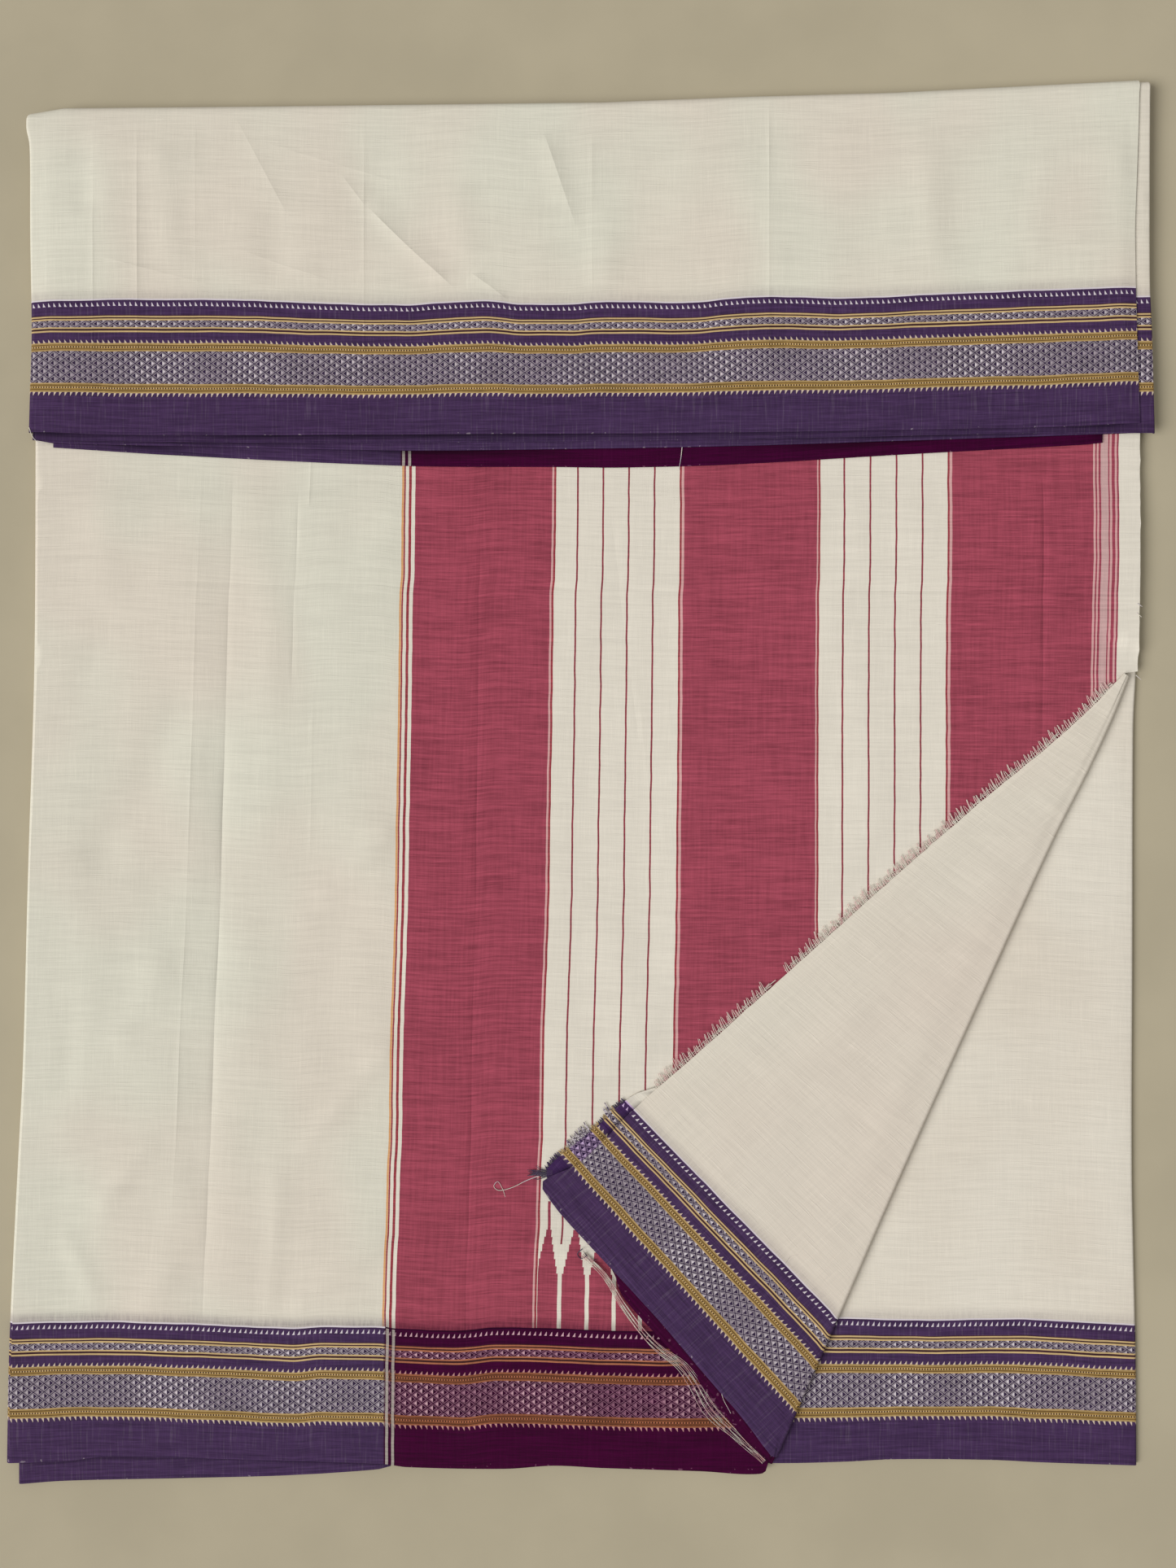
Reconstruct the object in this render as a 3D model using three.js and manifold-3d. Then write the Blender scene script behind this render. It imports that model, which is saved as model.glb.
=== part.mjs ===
// Handloom cotton and silk sari, folded to eight layers, lying flat with its top turned
// down over the front and its lower right corner turned back. Millimetres, +Z up, +X to
// the right and +Y away, with the origin in the middle of the underside.
import * as THREE from 'three';
import Module from 'manifold-3d';

const wasm = await Module();
wasm.setup();

// Driving sizes
const CLOTH = 1.0; // wall of one layer
const GAP = 0.3; // air between two layers
const LAYER = CLOTH + GAP;
const LOW_STACK = 2.7; // hidden layers under the third layer
const HIDDEN_BAND = 1.5; // hidden layers in the turned-down band
const HALF_WIDTH = 407.3;
const HALF_HEIGHT = 498.5;

// Upper faces of the layers, from the floor up
const THIRD_TOP = LOW_STACK + LAYER;
const SECOND_TOP = THIRD_TOP + LAYER;
const PALLU_TOP = SECOND_TOP + LAYER;
const PALLU_TURNED_TOP = PALLU_TOP + LAYER;
const CORNER_TOP = PALLU_TURNED_TOP + LAYER;
const BAND_INNER_TOP = PALLU_TURNED_TOP + GAP + HIDDEN_BAND;
const BAND_SECOND_TOP = BAND_INNER_TOP + LAYER;
const TURNOVER_TOP = BAND_SECOND_TOP + LAYER;

// The fold round the top edge: every layer turns about one line
const TURN_RADIUS = TURNOVER_TOP / 2;
const TURN_LEG = 6; // how far the outer layers run back under the stack

// Side outlines seen from above, rows of [y, x]
const LEFT_SIDE = [
  [-483, -HALF_WIDTH], [-410, -406], [-340, -403], [-270, -399.5], [-200, -396],
  [-62, -392.3], [77, -388], [216, -387], [470, -387],
];
const RIGHT_SIDE = [
  [-486, 397], [-410, 396.5], [-340, 395], [-270, 393.8], [-130, 394.2], [40, 394.8],
  [80, 396.5], [216, 398], [470, 398],
];
const BAND_LEFT = [
  [248, -389.5], [284, -388.5], [318, -387.5], [388, -388.5], [457, -389], [471, -391.3],
];
const BAND_RIGHT = [
  [250, 396], [318, 394], [386, 392.5], [420, 393.5], [455, 395], [490, 396],
];
const SECOND_RIGHT = [
  [248, HALF_WIDTH], [318, 405.5], [353, 404], [420, 403.8], [490, 404.3],
];

// End outlines seen from above, rows of [x, y]
const TOP_EDGE = [ // straight from point to point, as every layer turns about it
  [-391, 474.2], [-365, 478.7], [-226, 480], [16, 482.9], [120, 486.9], [224, 489.8],
  [396, HALF_HEIGHT],
];
const TURNOVER_EDGE = [
  [-388, 248], [-316, 245.6], [-202, 245.6], [108, 247.3], [228, 249.1], [338, 251.4],
  [396, 254.2],
];
const BAND_SECOND_EDGE = [[-386, 242.5], [-200, 240.5], [100, 243], [300, 247], [407, 247.6]];
const BAND_INNER_EDGE = [
  [-387, 243], [-372, 240.4], [-336, 239.4], [-238, 237.3], [-124, 235.2], [-7, 236.4],
  [108, 238.4], [229, 242.2], [330, 245.5], [400, 248],
];
const PALLU_BORDER_EDGE = [
  [-373, 238], [-287, 232.5], [-124, 225], [-17, 224.2], [30, 223.8], [109, 226],
  [229, 233], [357, 240], [371, 241.4],
];
const PALLU_EDGE = [
  [-405, -483], [-365, -481.5], [-338, -478.5], [-270, -479.5], [-140, -483.5],
  [-122, -485.8], [-53, -487], [-18, -484.8], [16, -486.4], [86, -488.7], [129, -490.5],
  [137, -484],
];
const STRIP_EDGE = [
  [-399, -HALF_HEIGHT], [-365, -496], [-276, -494], [-209, -492.2], [-144, -488], [-134, -485.5],
];
const THIRD_EDGE = [
  [90, -483], [144, -484.1], [190, -483], [225, -481.3], [294, -481.8], [329, -483.5],
  [397, -485.8],
];

// Turned corner: its fold runs down from an apex, and its widths are measured at right
// angles to the fold. Rows of [distance down the fold, width]
const APEX = new THREE.Vector2(389.5, 75.5);
const FOLD_DOWN = new THREE.Vector2(-249.5, -553.5).normalize();
const FOLD_IN = new THREE.Vector2(FOLD_DOWN.y, -FOLD_DOWN.x);
const FOLD_BOW = [
  [0, 0], [30, -1.3], [70, -1], [130, 1.6], [250, 2.3], [400, 2.3], [500, 1], [614, 0],
];
const CORNER_LEG = 36; // how far the second layer runs back under the pallu
const CORNER_WIDTH = [
  [0, 4], [25, 14], [58, 28], [100, 47], [150, 69.5], [200, 92], [250, 114], [300, 136],
  [372, 168], [424, 192], [474, 212], [498, 231], [507, 220], [516, 202], [534, 159],
  [551, 119], [572, 75], [590, 36], [607, 4],
];
const PALLU_TURNED_WIDTH = [
  [1, 3.6], [25, 12], [58, 26], [100, 45], [150, 67.5], [200, 90], [250, 112], [300, 134],
  [372, 166], [402, 183], [416, 197], [444, 210], [467, 222], [487, 231], [497, 226],
  [507, 212], [516, 196], [534, 160], [548, 146], [564, 111], [578, 79], [601, 34], [613, 4],
];
const POCKET_SET_BACK = 46; // level distance from the fold to where the stack steps down
const POCKET_END = 98; // where the pocket stops, just above the apex
const CORNER_FOOT = 137; // x of the foot of the fold

// Creases as soft ridges, rows of [x1, y1, x2, y2, height, half width]
const PANEL_CREASES = [
  [-272, 205, -272, -405, 0.9, 9],
  [-246, 205, -262, -440, 1.2, 8],
  [-73, 200, -73, -440, 0.9, 9],
  [326, 205, 326, 70, 0.8, 8],
];
const BAND_CREASES = [
  [-342, 440, -344, 262, 0.9, 9],
  [-311, 440, -311, 262, 0.8, 8],
  [-153, 455, -153, 262, 1.0, 9],
  [133, 465, 133, 262, 1.4, 9],
];

// Fringe and loose threads
const STRAND = { radius: 0.45, sides: 3 };
const RAW_FRINGE = { from: 12, to: 400, count: 100, length: 5, backing: 1.2 };
const END_FRINGE = { from: 406, to: 486, count: 32, length: 6, backing: 1.2 };
const THREAD_PATH = [ // x, y, z from the knot to the foot of the fold
  [4, -333, 7.8], [20, -348, 8.6], [32, -367, 8.8], [46, -386, 8.7], [59, -399, 8.7],
  [74, -409, 8.7], [84, -421, 8.7], [95, -440, 8.7], [108, -455, 8.7], [121, -470, 8.7],
  [131, -481, 8.6],
];
const THREAD_COUNT = 6;
const THREAD_SPACING = 1.9;

const DEGREE = Math.PI / 180;

// Smooth curve through rows of [at, value]
function along(table, at) {
  const last = table.length - 1;
  if (at <= table[0][0]) return table[0][1];
  if (at >= table[last][0]) return table[last][1];
  let i = 0;
  while (at > table[i + 1][0]) i += 1;
  const slope = (k) => {
    const before = table[Math.max(k - 1, 0)];
    const after = table[Math.min(k + 1, last)];
    return (after[1] - before[1]) / (after[0] - before[0]);
  };
  const span = table[i + 1][0] - table[i][0];
  const t = (at - table[i][0]) / span;
  const rise = table[i + 1][1] - table[i][1];
  const ease = t * t * (3 - 2 * t);
  const startPull = t * (1 - t) * (1 - t) * slope(i) * span;
  const endPull = t * t * (1 - t) * slope(i + 1) * span;
  return table[i][1] + rise * ease + startPull - endPull;
}

// Straight from point to point through rows of [at, value]
function between(table, at) {
  let i = 0;
  while (i < table.length - 2 && at > table[i + 1][0]) i += 1;
  const share = (at - table[i][0]) / (table[i + 1][0] - table[i][0]);
  return THREE.MathUtils.lerp(table[i][1], table[i + 1][1], share);
}

// 1 at zero, falling smoothly to 0 at one
function fade(t) {
  const k = Math.min(Math.max(t, 0), 1);
  return 1 - k * k * (3 - 2 * k);
}

// Height of the soft ridges at a point
function creaseLift(creases, x, y) {
  let lift = 0;
  for (const [x1, y1, x2, y2, height, half] of creases) {
    const down = (y1 - y) / (y1 - y2);
    const inside = fade(Math.abs(down - 0.5) * 4 - 1);
    const away = (x - (x1 + (x2 - x1) * down)) / half;
    lift += height * inside * Math.exp(-away * away);
  }
  return lift;
}

// Indexed geometry with its faces turned outwards
function faceOut(points, index) {
  let volume = 0;
  for (let i = 0; i < index.length; i += 3) {
    const [a, b, c] = [points[index[i]], points[index[i + 1]], points[index[i + 2]]];
    volume += a.dot(b.clone().cross(c));
  }
  if (volume < 0) index.reverse();
  const geometry = new THREE.BufferGeometry().setFromPoints(points);
  geometry.setIndex(index);
  geometry.computeVertexNormals();
  return geometry;
}

// Closed wall from rows of { outer, inner } points: two faces and the rim between them
function closedWall(rows) {
  const high = rows.length;
  const wide = rows[0].length;
  const face = (side) => rows.flatMap((row) => row.map((p) => p[side]));
  const points = [...face('outer'), ...face('inner')];
  const id = (side, r, c) => (side * high + r) * wide + c;
  const index = [];
  const quad = (a, b, c, d) => index.push(a, b, c, a, c, d);
  for (let r = 0; r < high - 1; r += 1) {
    for (let c = 0; c < wide - 1; c += 1) {
      quad(id(0, r, c), id(0, r, c + 1), id(0, r + 1, c + 1), id(0, r + 1, c));
      quad(id(1, r, c), id(1, r + 1, c), id(1, r + 1, c + 1), id(1, r, c + 1));
    }
  }
  const rim = [];
  for (let c = 0; c < wide; c += 1) rim.push([0, c]);
  for (let r = 1; r < high; r += 1) rim.push([r, wide - 1]);
  for (let c = wide - 2; c >= 0; c -= 1) rim.push([high - 1, c]);
  for (let r = high - 2; r > 0; r -= 1) rim.push([r, 0]);
  rim.forEach(([r, c], k) => {
    const [r2, c2] = rim[(k + 1) % rim.length];
    quad(id(0, r2, c2), id(0, r, c), id(1, r, c), id(1, r2, c2));
  });
  return faceOut(points, index);
}

// Closed solid through rings with equal counts of points, capped at both ends; a cap is
// laid out on the two axes that its ring spans
function closedSweep(rings, flatten) {
  const count = rings[0].length;
  const points = rings.flat();
  const index = [];
  for (let r = 0; r < rings.length - 1; r += 1) {
    for (let k = 0; k < count; k += 1) {
      const next = (k + 1) % count;
      const [a, b] = [r * count + k, r * count + next];
      index.push(a, b, b + count, a, b + count, a + count);
    }
  }
  for (const [r, flip] of [[0, true], [rings.length - 1, false]]) {
    const ring = rings[r];
    const outline = ring.map((p) => new THREE.Vector2(...flatten(p)));
    const clockwise = THREE.ShapeUtils.isClockWise(outline);
    for (const [a, b, c] of THREE.ShapeUtils.triangulateShape(outline, [])) {
      const face = clockwise === flip ? [a, b, c] : [a, c, b];
      index.push(...face.map((k) => r * count + k));
    }
  }
  return faceOut(points, index);
}

function mesh(name, geometry, color) {
  const material = new THREE.MeshStandardMaterial({ color, roughness: 0.85, metalness: 0 });
  const piece = new THREE.Mesh(geometry, material);
  piece.name = name;
  return piece;
}

// Where a point of the fold line lies, and a point set in from it
function foldPoint(down, inward = 0) {
  const bow = along(FOLD_BOW, down);
  return APEX.clone().addScaledVector(FOLD_DOWN, down).addScaledVector(FOLD_IN, inward + bow);
}
function foldX(y) {
  const down = (y - APEX.y) / FOLD_DOWN.y;
  return APEX.x + FOLD_DOWN.x * down + along(FOLD_BOW, down) / FOLD_IN.x;
}

// Columns across a sheet: a rolled edge is a fold, an edge with no radius is cut
const ROLL_TURNS = [140, 115, 90, 60, 30];
function columnsOf(xs, leftRadius, rightRadius) {
  const left = leftRadius ? ROLL_TURNS.map((turn) => ({ side: -1, turn: turn * DEGREE })) : [];
  const right = rightRadius ? ROLL_TURNS.map((turn) => ({ side: 1, turn: turn * DEGREE })) : [];
  const middle = xs.map((x, i) => ({ side: 0, x, before: i, after: xs.length - 1 - i }));
  return [...left, ...middle, ...right.reverse()];
}
const PINCH = 1.5; // least distance between two columns
function sectionPoint(column, sheet, leftX, rightX) {
  const first = leftX + (sheet.leftRadius ?? 0);
  const last = rightX - (sheet.rightRadius ?? 0);
  if (column.side === 0) {
    const x = Math.min(Math.max(column.x, first + column.before * PINCH), last - column.after * PINCH);
    return { x, depth: 0, nx: 0, nz: 1 };
  }
  const radius = column.side < 0 ? sheet.leftRadius : sheet.rightRadius;
  const centre = column.side < 0 ? first : last;
  const nx = column.side * Math.sin(column.turn);
  const nz = Math.cos(column.turn);
  return { x: centre + radius * nx, depth: radius * (1 - nz), nx, nz };
}

// Rows down a sheet. A level row keeps one y in the middle and follows the end outlines
// near them; a turning row lies on the fold round the top edge
const END_REACH = 60;
function levelRow(y, sheet) {
  const { lower, upper, lowerY, upperY } = sheet;
  const reach = Math.min(END_REACH, upperY - lowerY);
  const nearLower = fade((y - lowerY) / reach);
  const nearUpper = fade((upperY - y) / reach);
  const place = (x) => {
    const py = y + (lower(x) - lowerY) * nearLower + (upper(x) - upperY) * nearUpper;
    return { y: py, z: sheet.top + creaseLift(sheet.creases ?? [], x, py), ny: 0, nz: 1 };
  };
  return { y, place };
}
const turnCentre = (x) => between(TOP_EDGE, x) - TURN_RADIUS;
function turningRow(degrees, radius) {
  const ny = Math.sin(degrees * DEGREE);
  const nz = Math.cos(degrees * DEGREE);
  const place = (x) => ({ y: turnCentre(x) + radius * ny, z: TURN_RADIUS + radius * nz, ny, nz });
  return { y: HALF_HEIGHT, place };
}
function legRow(back, radius) {
  const place = (x) => ({ y: turnCentre(x) - back, z: TURN_RADIUS - radius, ny: 0, nz: -1 });
  return { y: HALF_HEIGHT, place };
}
function sheetWall(sheet) {
  const columns = columnsOf(sheet.xs, sheet.leftRadius, sheet.rightRadius);
  const rows = sheet.rows.map((row) => columns.map((column) => {
    const at = sectionPoint(column, sheet, sheet.left(row.y), sheet.right(row.y));
    const p = row.place(at.x);
    const outer = new THREE.Vector3(at.x, p.y - p.ny * at.depth, p.z - p.nz * at.depth);
    const normal = new THREE.Vector3(at.nx, p.ny * at.nz, p.nz * at.nz);
    return { outer, inner: outer.clone().addScaledVector(normal, -CLOTH) };
  }));
  return closedWall(rows);
}
function levelSheet(sheet, ys) {
  const full = { ...sheet, lowerY: ys[0], upperY: ys[ys.length - 1] };
  return sheetWall({ ...full, rows: ys.map((y) => levelRow(y, full)) });
}

// The pallu: the whole top layer, rolled round the left fold down to the floor and cut
// off along the turned corner's fold
const PALLU_END = 10; // how far short of the middle of the top fold it stops
const EDGE_START = 3.4; // how far above the apex its own raw edge begins
function palluPanel() {
  const edgeY = APEX.y + EDGE_START;
  return levelSheet({
    top: PALLU_TOP,
    left: (y) => along(LEFT_SIDE, y),
    right: (y) => (y > edgeY ? along(RIGHT_SIDE, y) : foldX(y) - 3 - 1.5 * fade((y + 485) / 30)),
    lower: (x) => along(PALLU_EDGE, x),
    upper: (x) => turnCentre(x) - PALLU_END,
    leftRadius: PALLU_TOP / 2,
    xs: [-400, -350, -310, -284, -272, -262, -253, -243, -225, -170, -110, -84, -73, -62, 0, 70,
      140, 210, 270, 316, 326, 336, 365, 400],
    creases: PANEL_CREASES,
  }, [-485, -465, -425, -370, -310, -240, -170, -100, -40, 10, 50, edgeY - 0.8, edgeY + 0.4,
    120, 165, 205, 260, 340, 420, 464]);
}

// The third layer, folded at the right, which shows where the corner is turned back
function thirdLayerPanel() {
  return levelSheet({
    top: THIRD_TOP,
    left: (y) => foldX(y) - POCKET_SET_BACK + 2,
    right: (y) => along(RIGHT_SIDE, y),
    lower: (x) => along(THIRD_EDGE, x),
    upper: () => POCKET_END - 2,
    rightRadius: THIRD_TOP / 2,
    xs: [0, 120, 160, 200, 240, 280, 320, 350, 370, 400],
  }, [-484, -460, -420, -350, -280, -200, -120, -50, 0, 40, 75, POCKET_END - 2]);
}

// The second layer's selvedge, which shows below the pallu at the lower left
function lowerLeftSelvedge() {
  return levelSheet({
    top: SECOND_TOP,
    left: () => STRIP_EDGE[0][0],
    right: () => STRIP_EDGE[STRIP_EDGE.length - 1][0],
    lower: (x) => along(STRIP_EDGE, x),
    upper: (x) => along(PALLU_EDGE, x) + 7,
    leftRadius: SECOND_TOP / 2,
    xs: [-400, -380, -355, -330, -300, -270, -235, -200, -170, -150, -134],
  }, [-492, -488, -480, -474]);
}

// A turned-back layer: an optional leg, half a turn about the fold, and the flap
const CORNER_RADIUS = (CORNER_TOP - THIRD_TOP - GAP) / 2;
const BEND_TURNS = [0, 30, 60, 90, 120, 150, 180];
const FLAP_SHARES = [0.15, 0.35, 0.55, 0.75, 0.9, 1];
function turnedWall({ top, leg, widths }) {
  const radius = CORNER_RADIUS - (CORNER_TOP - top);
  const middle = CORNER_TOP - CORNER_RADIUS;
  const rows = widths.map(([down, width]) => {
    const profile = [];
    for (const reach of leg) profile.push([reach, middle - radius, 0, -1]);
    for (const turn of BEND_TURNS) {
      const nd = -Math.sin(turn * DEGREE);
      const nz = -Math.cos(turn * DEGREE);
      profile.push([CORNER_RADIUS + radius * nd, middle + radius * nz, nd, nz]);
    }
    for (const share of FLAP_SHARES) {
      profile.push([CORNER_RADIUS + (width - CORNER_RADIUS) * share, top, 0, 1]);
    }
    return profile.map(([inward, z, nd, nz]) => {
      const at = foldPoint(down, inward);
      const within = foldPoint(down, inward - nd * CLOTH);
      return {
        outer: new THREE.Vector3(at.x, at.y, z),
        inner: new THREE.Vector3(within.x, within.y, z - nz * CLOTH),
      };
    });
  });
  return closedWall(rows);
}

// The turned-down top: sheets that run from a short leg under the stack, round the top
// fold and down the front to their selvedges
const TURNS = [180, 157.5, 135, 112.5, 90, 67.5, 45, 22.5, 0];
function turnoverSheet(sheet, ys) {
  const radius = sheet.top - TURN_RADIUS;
  const upper = (x) => turnCentre(x);
  const upperY = turnCentre(0);
  const full = { ...sheet, upper, upperY, lowerY: ys[ys.length - 1] };
  const rows = [
    legRow(TURN_LEG, radius),
    ...TURNS.map((turn) => turningRow(turn, radius)),
    ...ys.map((y) => levelRow(y, full)),
  ];
  return sheetWall({ ...full, rows });
}
function topTurnover() {
  return turnoverSheet({
    top: TURNOVER_TOP,
    left: (y) => along(BAND_LEFT, y),
    right: (y) => along(BAND_RIGHT, y),
    lower: (x) => along(TURNOVER_EDGE, x),
    leftRadius: (TURNOVER_TOP - PALLU_TOP - GAP) / 2,
    xs: [-400, -365, -353, -343, -333, -320, -311, -302, -226, -164, -153, -142, -60, 16,
      120, 133, 146, 224, 310, 400],
    creases: BAND_CREASES,
  }, [440, 390, 330, 285, 262, 248]);
}
function turnoverSecondLayer() {
  return turnoverSheet({
    top: BAND_SECOND_TOP,
    left: (y) => along(BAND_LEFT, y) + 3,
    right: (y) => along(SECOND_RIGHT, y),
    lower: (x) => along(BAND_SECOND_EDGE, x),
    rightRadius: (BAND_SECOND_TOP - PALLU_TURNED_TOP - GAP) / 2,
    xs: [-400, -365, -300, -226, -100, 16, 120, 224, 310, 385, 400],
  }, [440, 380, 300, 262, 244]);
}

// The pallu's own selvedge, lowest in the band
function turnoverPalluBorder() {
  return levelSheet({
    top: PALLU_TURNED_TOP,
    left: () => PALLU_BORDER_EDGE[0][0],
    right: () => PALLU_BORDER_EDGE[PALLU_BORDER_EDGE.length - 1][0],
    lower: (x) => along(PALLU_BORDER_EDGE, x),
    upper: (x) => turnCentre(x) - 3,
    xs: [-400, -330, -287, -240, -180, -124, -70, -17, 30, 75, 109, 160, 229, 290, 357, 371],
  }, [232, 250, 340, 473]);
}

// All the hidden layers as one solid: a stack with stepped lower edges, the round of the
// top fold and the band's inner layers. A station gives the floor side and the inner side
// of its ring; the ring's ends are rounded, one bulge for each fold
const STACK_INSET = { left: 2.6, right: 1.7, strip: 3.1, bandRight: 2 };
const STACK_STEPS = [ // how far in from the outline, upper face
  [0.6, 0.9], [1.4, 1.2], [1.6, 2.4], [2.6, LOW_STACK], [2.8, 3.7], [3.6, THIRD_TOP],
];
const EDGE_BULGE = [ // share of the thickness, how far out
  [0.06, -0.5], [0.22, 0], [0.42, -0.1], [0.5, -0.7], [0.58, -0.1], [0.78, 0], [0.94, -0.5],
];
const FLOOR_XS = [-400, -365, -226, -130, -123, -53, 16, 120, 224, 328, 400];
const INNER_XS = [-400, -365, -300, -226, -170, -130, -123, -53, 16, 86, 120, 224, 400];
const POCKET_SHARES = [0, 0.3, 0.65, 1];
const STACK_ROWS = [-462, -400, -330, -260, -180, -60, 40, POCKET_END, POCKET_END + 0.5, 216, 330];
const STACK_TURNS = [180, 135, 90, 45, 0];
const BAND_RINGS = [ // share of the band's height, set back, share of the thickness
  [0.7, 0, 1], [0.3, 0, 1], [0, 2, 1], [0, 1.8, 0.6], [0, 0.2, 0.5],
];
function stackOutline(x) {
  const stripEnd = STRIP_EDGE[STRIP_EDGE.length - 1][0];
  if (x < stripEnd) return along(STRIP_EDGE, x);
  return x < CORNER_FOOT ? along(PALLU_EDGE, x) : along(THIRD_EDGE, x);
}
const STRIP_CLEARANCE = { end: -126, back: 8.6 }; // room for the lower left selvedge
function stackSetBack(x) {
  const { end, back } = STRIP_CLEARANCE;
  return x < end ? along(PALLU_EDGE, x) + back : stackOutline(x) + 4;
}
function stackRing({ leftX, rightX, pocketX, floorSide, innerSide }) {
  const lerp = THREE.MathUtils.lerp;
  const ring = [];
  const push = (x, share) => {
    const floor = floorSide(x);
    const inner = innerSide(x);
    ring.push(new THREE.Vector3(x, lerp(floor[0], inner[0], share), lerp(floor[1], inner[1], share)));
  };
  const clampColumns = (xs, first, last) => xs.map((x, i) => (
    Math.min(Math.max(x, first + i * PINCH), last - (xs.length - 1 - i) * PINCH)));
  for (const x of clampColumns(FLOOR_XS, leftX + 0.8, rightX - 0.8)) push(x, 0);
  for (const [share, out] of EDGE_BULGE) push(rightX + out, share);
  for (const share of [...POCKET_SHARES].reverse()) push(lerp(pocketX + 0.4, rightX - 0.8, share), 1);
  for (const x of clampColumns(INNER_XS, leftX + 0.8, pocketX).reverse()) push(x, 1);
  for (const [share, out] of [...EDGE_BULGE].reverse()) push(leftX - out, share);
  return ring;
}
function hiddenLayers() {
  const rings = [];
  const endLeft = STRIP_EDGE[0][0] + STACK_INSET.strip;
  const endRight = along(RIGHT_SIDE, -HALF_HEIGHT) - STACK_INSET.right;
  const endPocket = foldX(stackOutline(0)) - POCKET_SET_BACK;
  const capped = (x, z, pocketX) => (x > pocketX + 0.2 ? Math.min(z, LOW_STACK) : z);
  const stepRing = (yOf, z) => rings.push(stackRing({
    leftX: endLeft,
    rightX: endRight,
    pocketX: endPocket,
    floorSide: (x) => [yOf(x), 0],
    innerSide: (x) => [yOf(x), capped(x, z, endPocket)],
  }));
  for (const [inset, z] of STACK_STEPS) stepRing((x) => stackOutline(x) + inset, z);
  stepRing((x) => stackSetBack(x), THIRD_TOP);
  stepRing((x) => stackSetBack(x) + 0.4, SECOND_TOP);
  for (const y of STACK_ROWS) {
    const pocketX = foldX(Math.min(y, POCKET_END)) - POCKET_SET_BACK;
    rings.push(stackRing({
      leftX: along(LEFT_SIDE, y) + STACK_INSET.left,
      rightX: along(RIGHT_SIDE, y) - STACK_INSET.right,
      pocketX,
      floorSide: () => [y, 0],
      innerSide: (x) => [y, y > POCKET_END ? SECOND_TOP : capped(x, SECOND_TOP, pocketX)],
    }));
  }
  const floorRadius = BAND_INNER_TOP - TURN_RADIUS;
  const innerMiddle = (SECOND_TOP + PALLU_TURNED_TOP + GAP) / 2;
  const innerRadius = innerMiddle - SECOND_TOP;
  const lowerRight = along(RIGHT_SIDE, HALF_HEIGHT) - STACK_INSET.right;
  const bandRight = along(SECOND_RIGHT, HALF_HEIGHT) - STACK_INSET.bandRight;
  const turnLeft = along(BAND_LEFT, HALF_HEIGHT) + STACK_INSET.left;
  const pocketX = foldX(POCKET_END) - POCKET_SET_BACK;
  for (const [back, z] of [[22, 0], [9.5, TURN_RADIUS - floorRadius]]) {
    rings.push(stackRing({
      leftX: along(LEFT_SIDE, HALF_HEIGHT) + STACK_INSET.left,
      rightX: lowerRight,
      pocketX,
      floorSide: (x) => [turnCentre(x) - back, z],
      innerSide: (x) => [turnCentre(x) - back, SECOND_TOP],
    }));
  }
  for (const turn of STACK_TURNS) {
    const ny = Math.sin(turn * DEGREE);
    const nz = Math.cos(turn * DEGREE);
    rings.push(stackRing({
      leftX: turnLeft + 0.5,
      rightX: THREE.MathUtils.lerp(bandRight, lowerRight, turn / 180),
      pocketX,
      floorSide: (x) => [turnCentre(x) + floorRadius * ny, TURN_RADIUS + floorRadius * nz],
      innerSide: (x) => [turnCentre(x) + innerRadius * ny, innerMiddle + innerRadius * nz],
    }));
  }
  const bandY = (x, share) => THREE.MathUtils.lerp(along(BAND_INNER_EDGE, x), turnCentre(x), share);
  for (const [share, inset, top] of BAND_RINGS) {
    const y = THREE.MathUtils.lerp(BAND_LEFT[0][0], BAND_LEFT[BAND_LEFT.length - 1][0], share);
    rings.push(stackRing({
      leftX: along(BAND_LEFT, y) + STACK_INSET.left,
      rightX: along(SECOND_RIGHT, y) - STACK_INSET.bandRight,
      pocketX,
      floorSide: (x) => [bandY(x, share) + inset, PALLU_TURNED_TOP + GAP + HIDDEN_BAND * top],
      innerSide: (x) => [bandY(x, share) + inset, PALLU_TURNED_TOP + GAP],
    }));
  }
  return closedSweep(rings, (p) => [p.x, p.z]);
}

// A thin tapering strand along a path
function strand(path, tipShare) {
  const rings = path.map((p, i) => {
    const ahead = path[Math.min(i + 1, path.length - 1)].clone();
    const way = ahead.sub(path[Math.max(i - 1, 0)]).normalize();
    const side = way.clone().cross(new THREE.Vector3(0, 0, 1)).normalize();
    const up = side.clone().cross(way);
    const size = STRAND.radius * THREE.MathUtils.lerp(1, tipShare, i / (path.length - 1));
    return Array.from({ length: STRAND.sides }, (_, k) => {
      const turn = (90 + 360 * k / STRAND.sides) * DEGREE;
      const [across, rise] = [size * Math.cos(turn), size * Math.sin(turn)];
      return p.clone().addScaledVector(side, across).addScaledVector(up, rise);
    });
  });
  const [a, b] = [path[0], path[path.length - 1]];
  const steep = Math.abs(b.x - a.x) > Math.abs(b.y - a.y);
  return closedSweep(rings, (p) => (steep ? [p.y, p.z] : [p.x, p.z]));
}

// Pieces fused into one body
function fuse(geometries) {
  const solids = geometries.map((geometry) => new wasm.Manifold(new wasm.Mesh({
    numProp: 3,
    vertProperties: geometry.attributes.position.array,
    triVerts: Uint32Array.from(geometry.index.array),
  })));
  const fused = wasm.Manifold.union(solids).getMesh();
  const geometry = new THREE.BufferGeometry();
  geometry.setAttribute('position', new THREE.BufferAttribute(fused.vertProperties, 3));
  geometry.setIndex(new THREE.BufferAttribute(fused.triVerts, 1));
  geometry.computeVertexNormals();
  return geometry;
}

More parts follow.
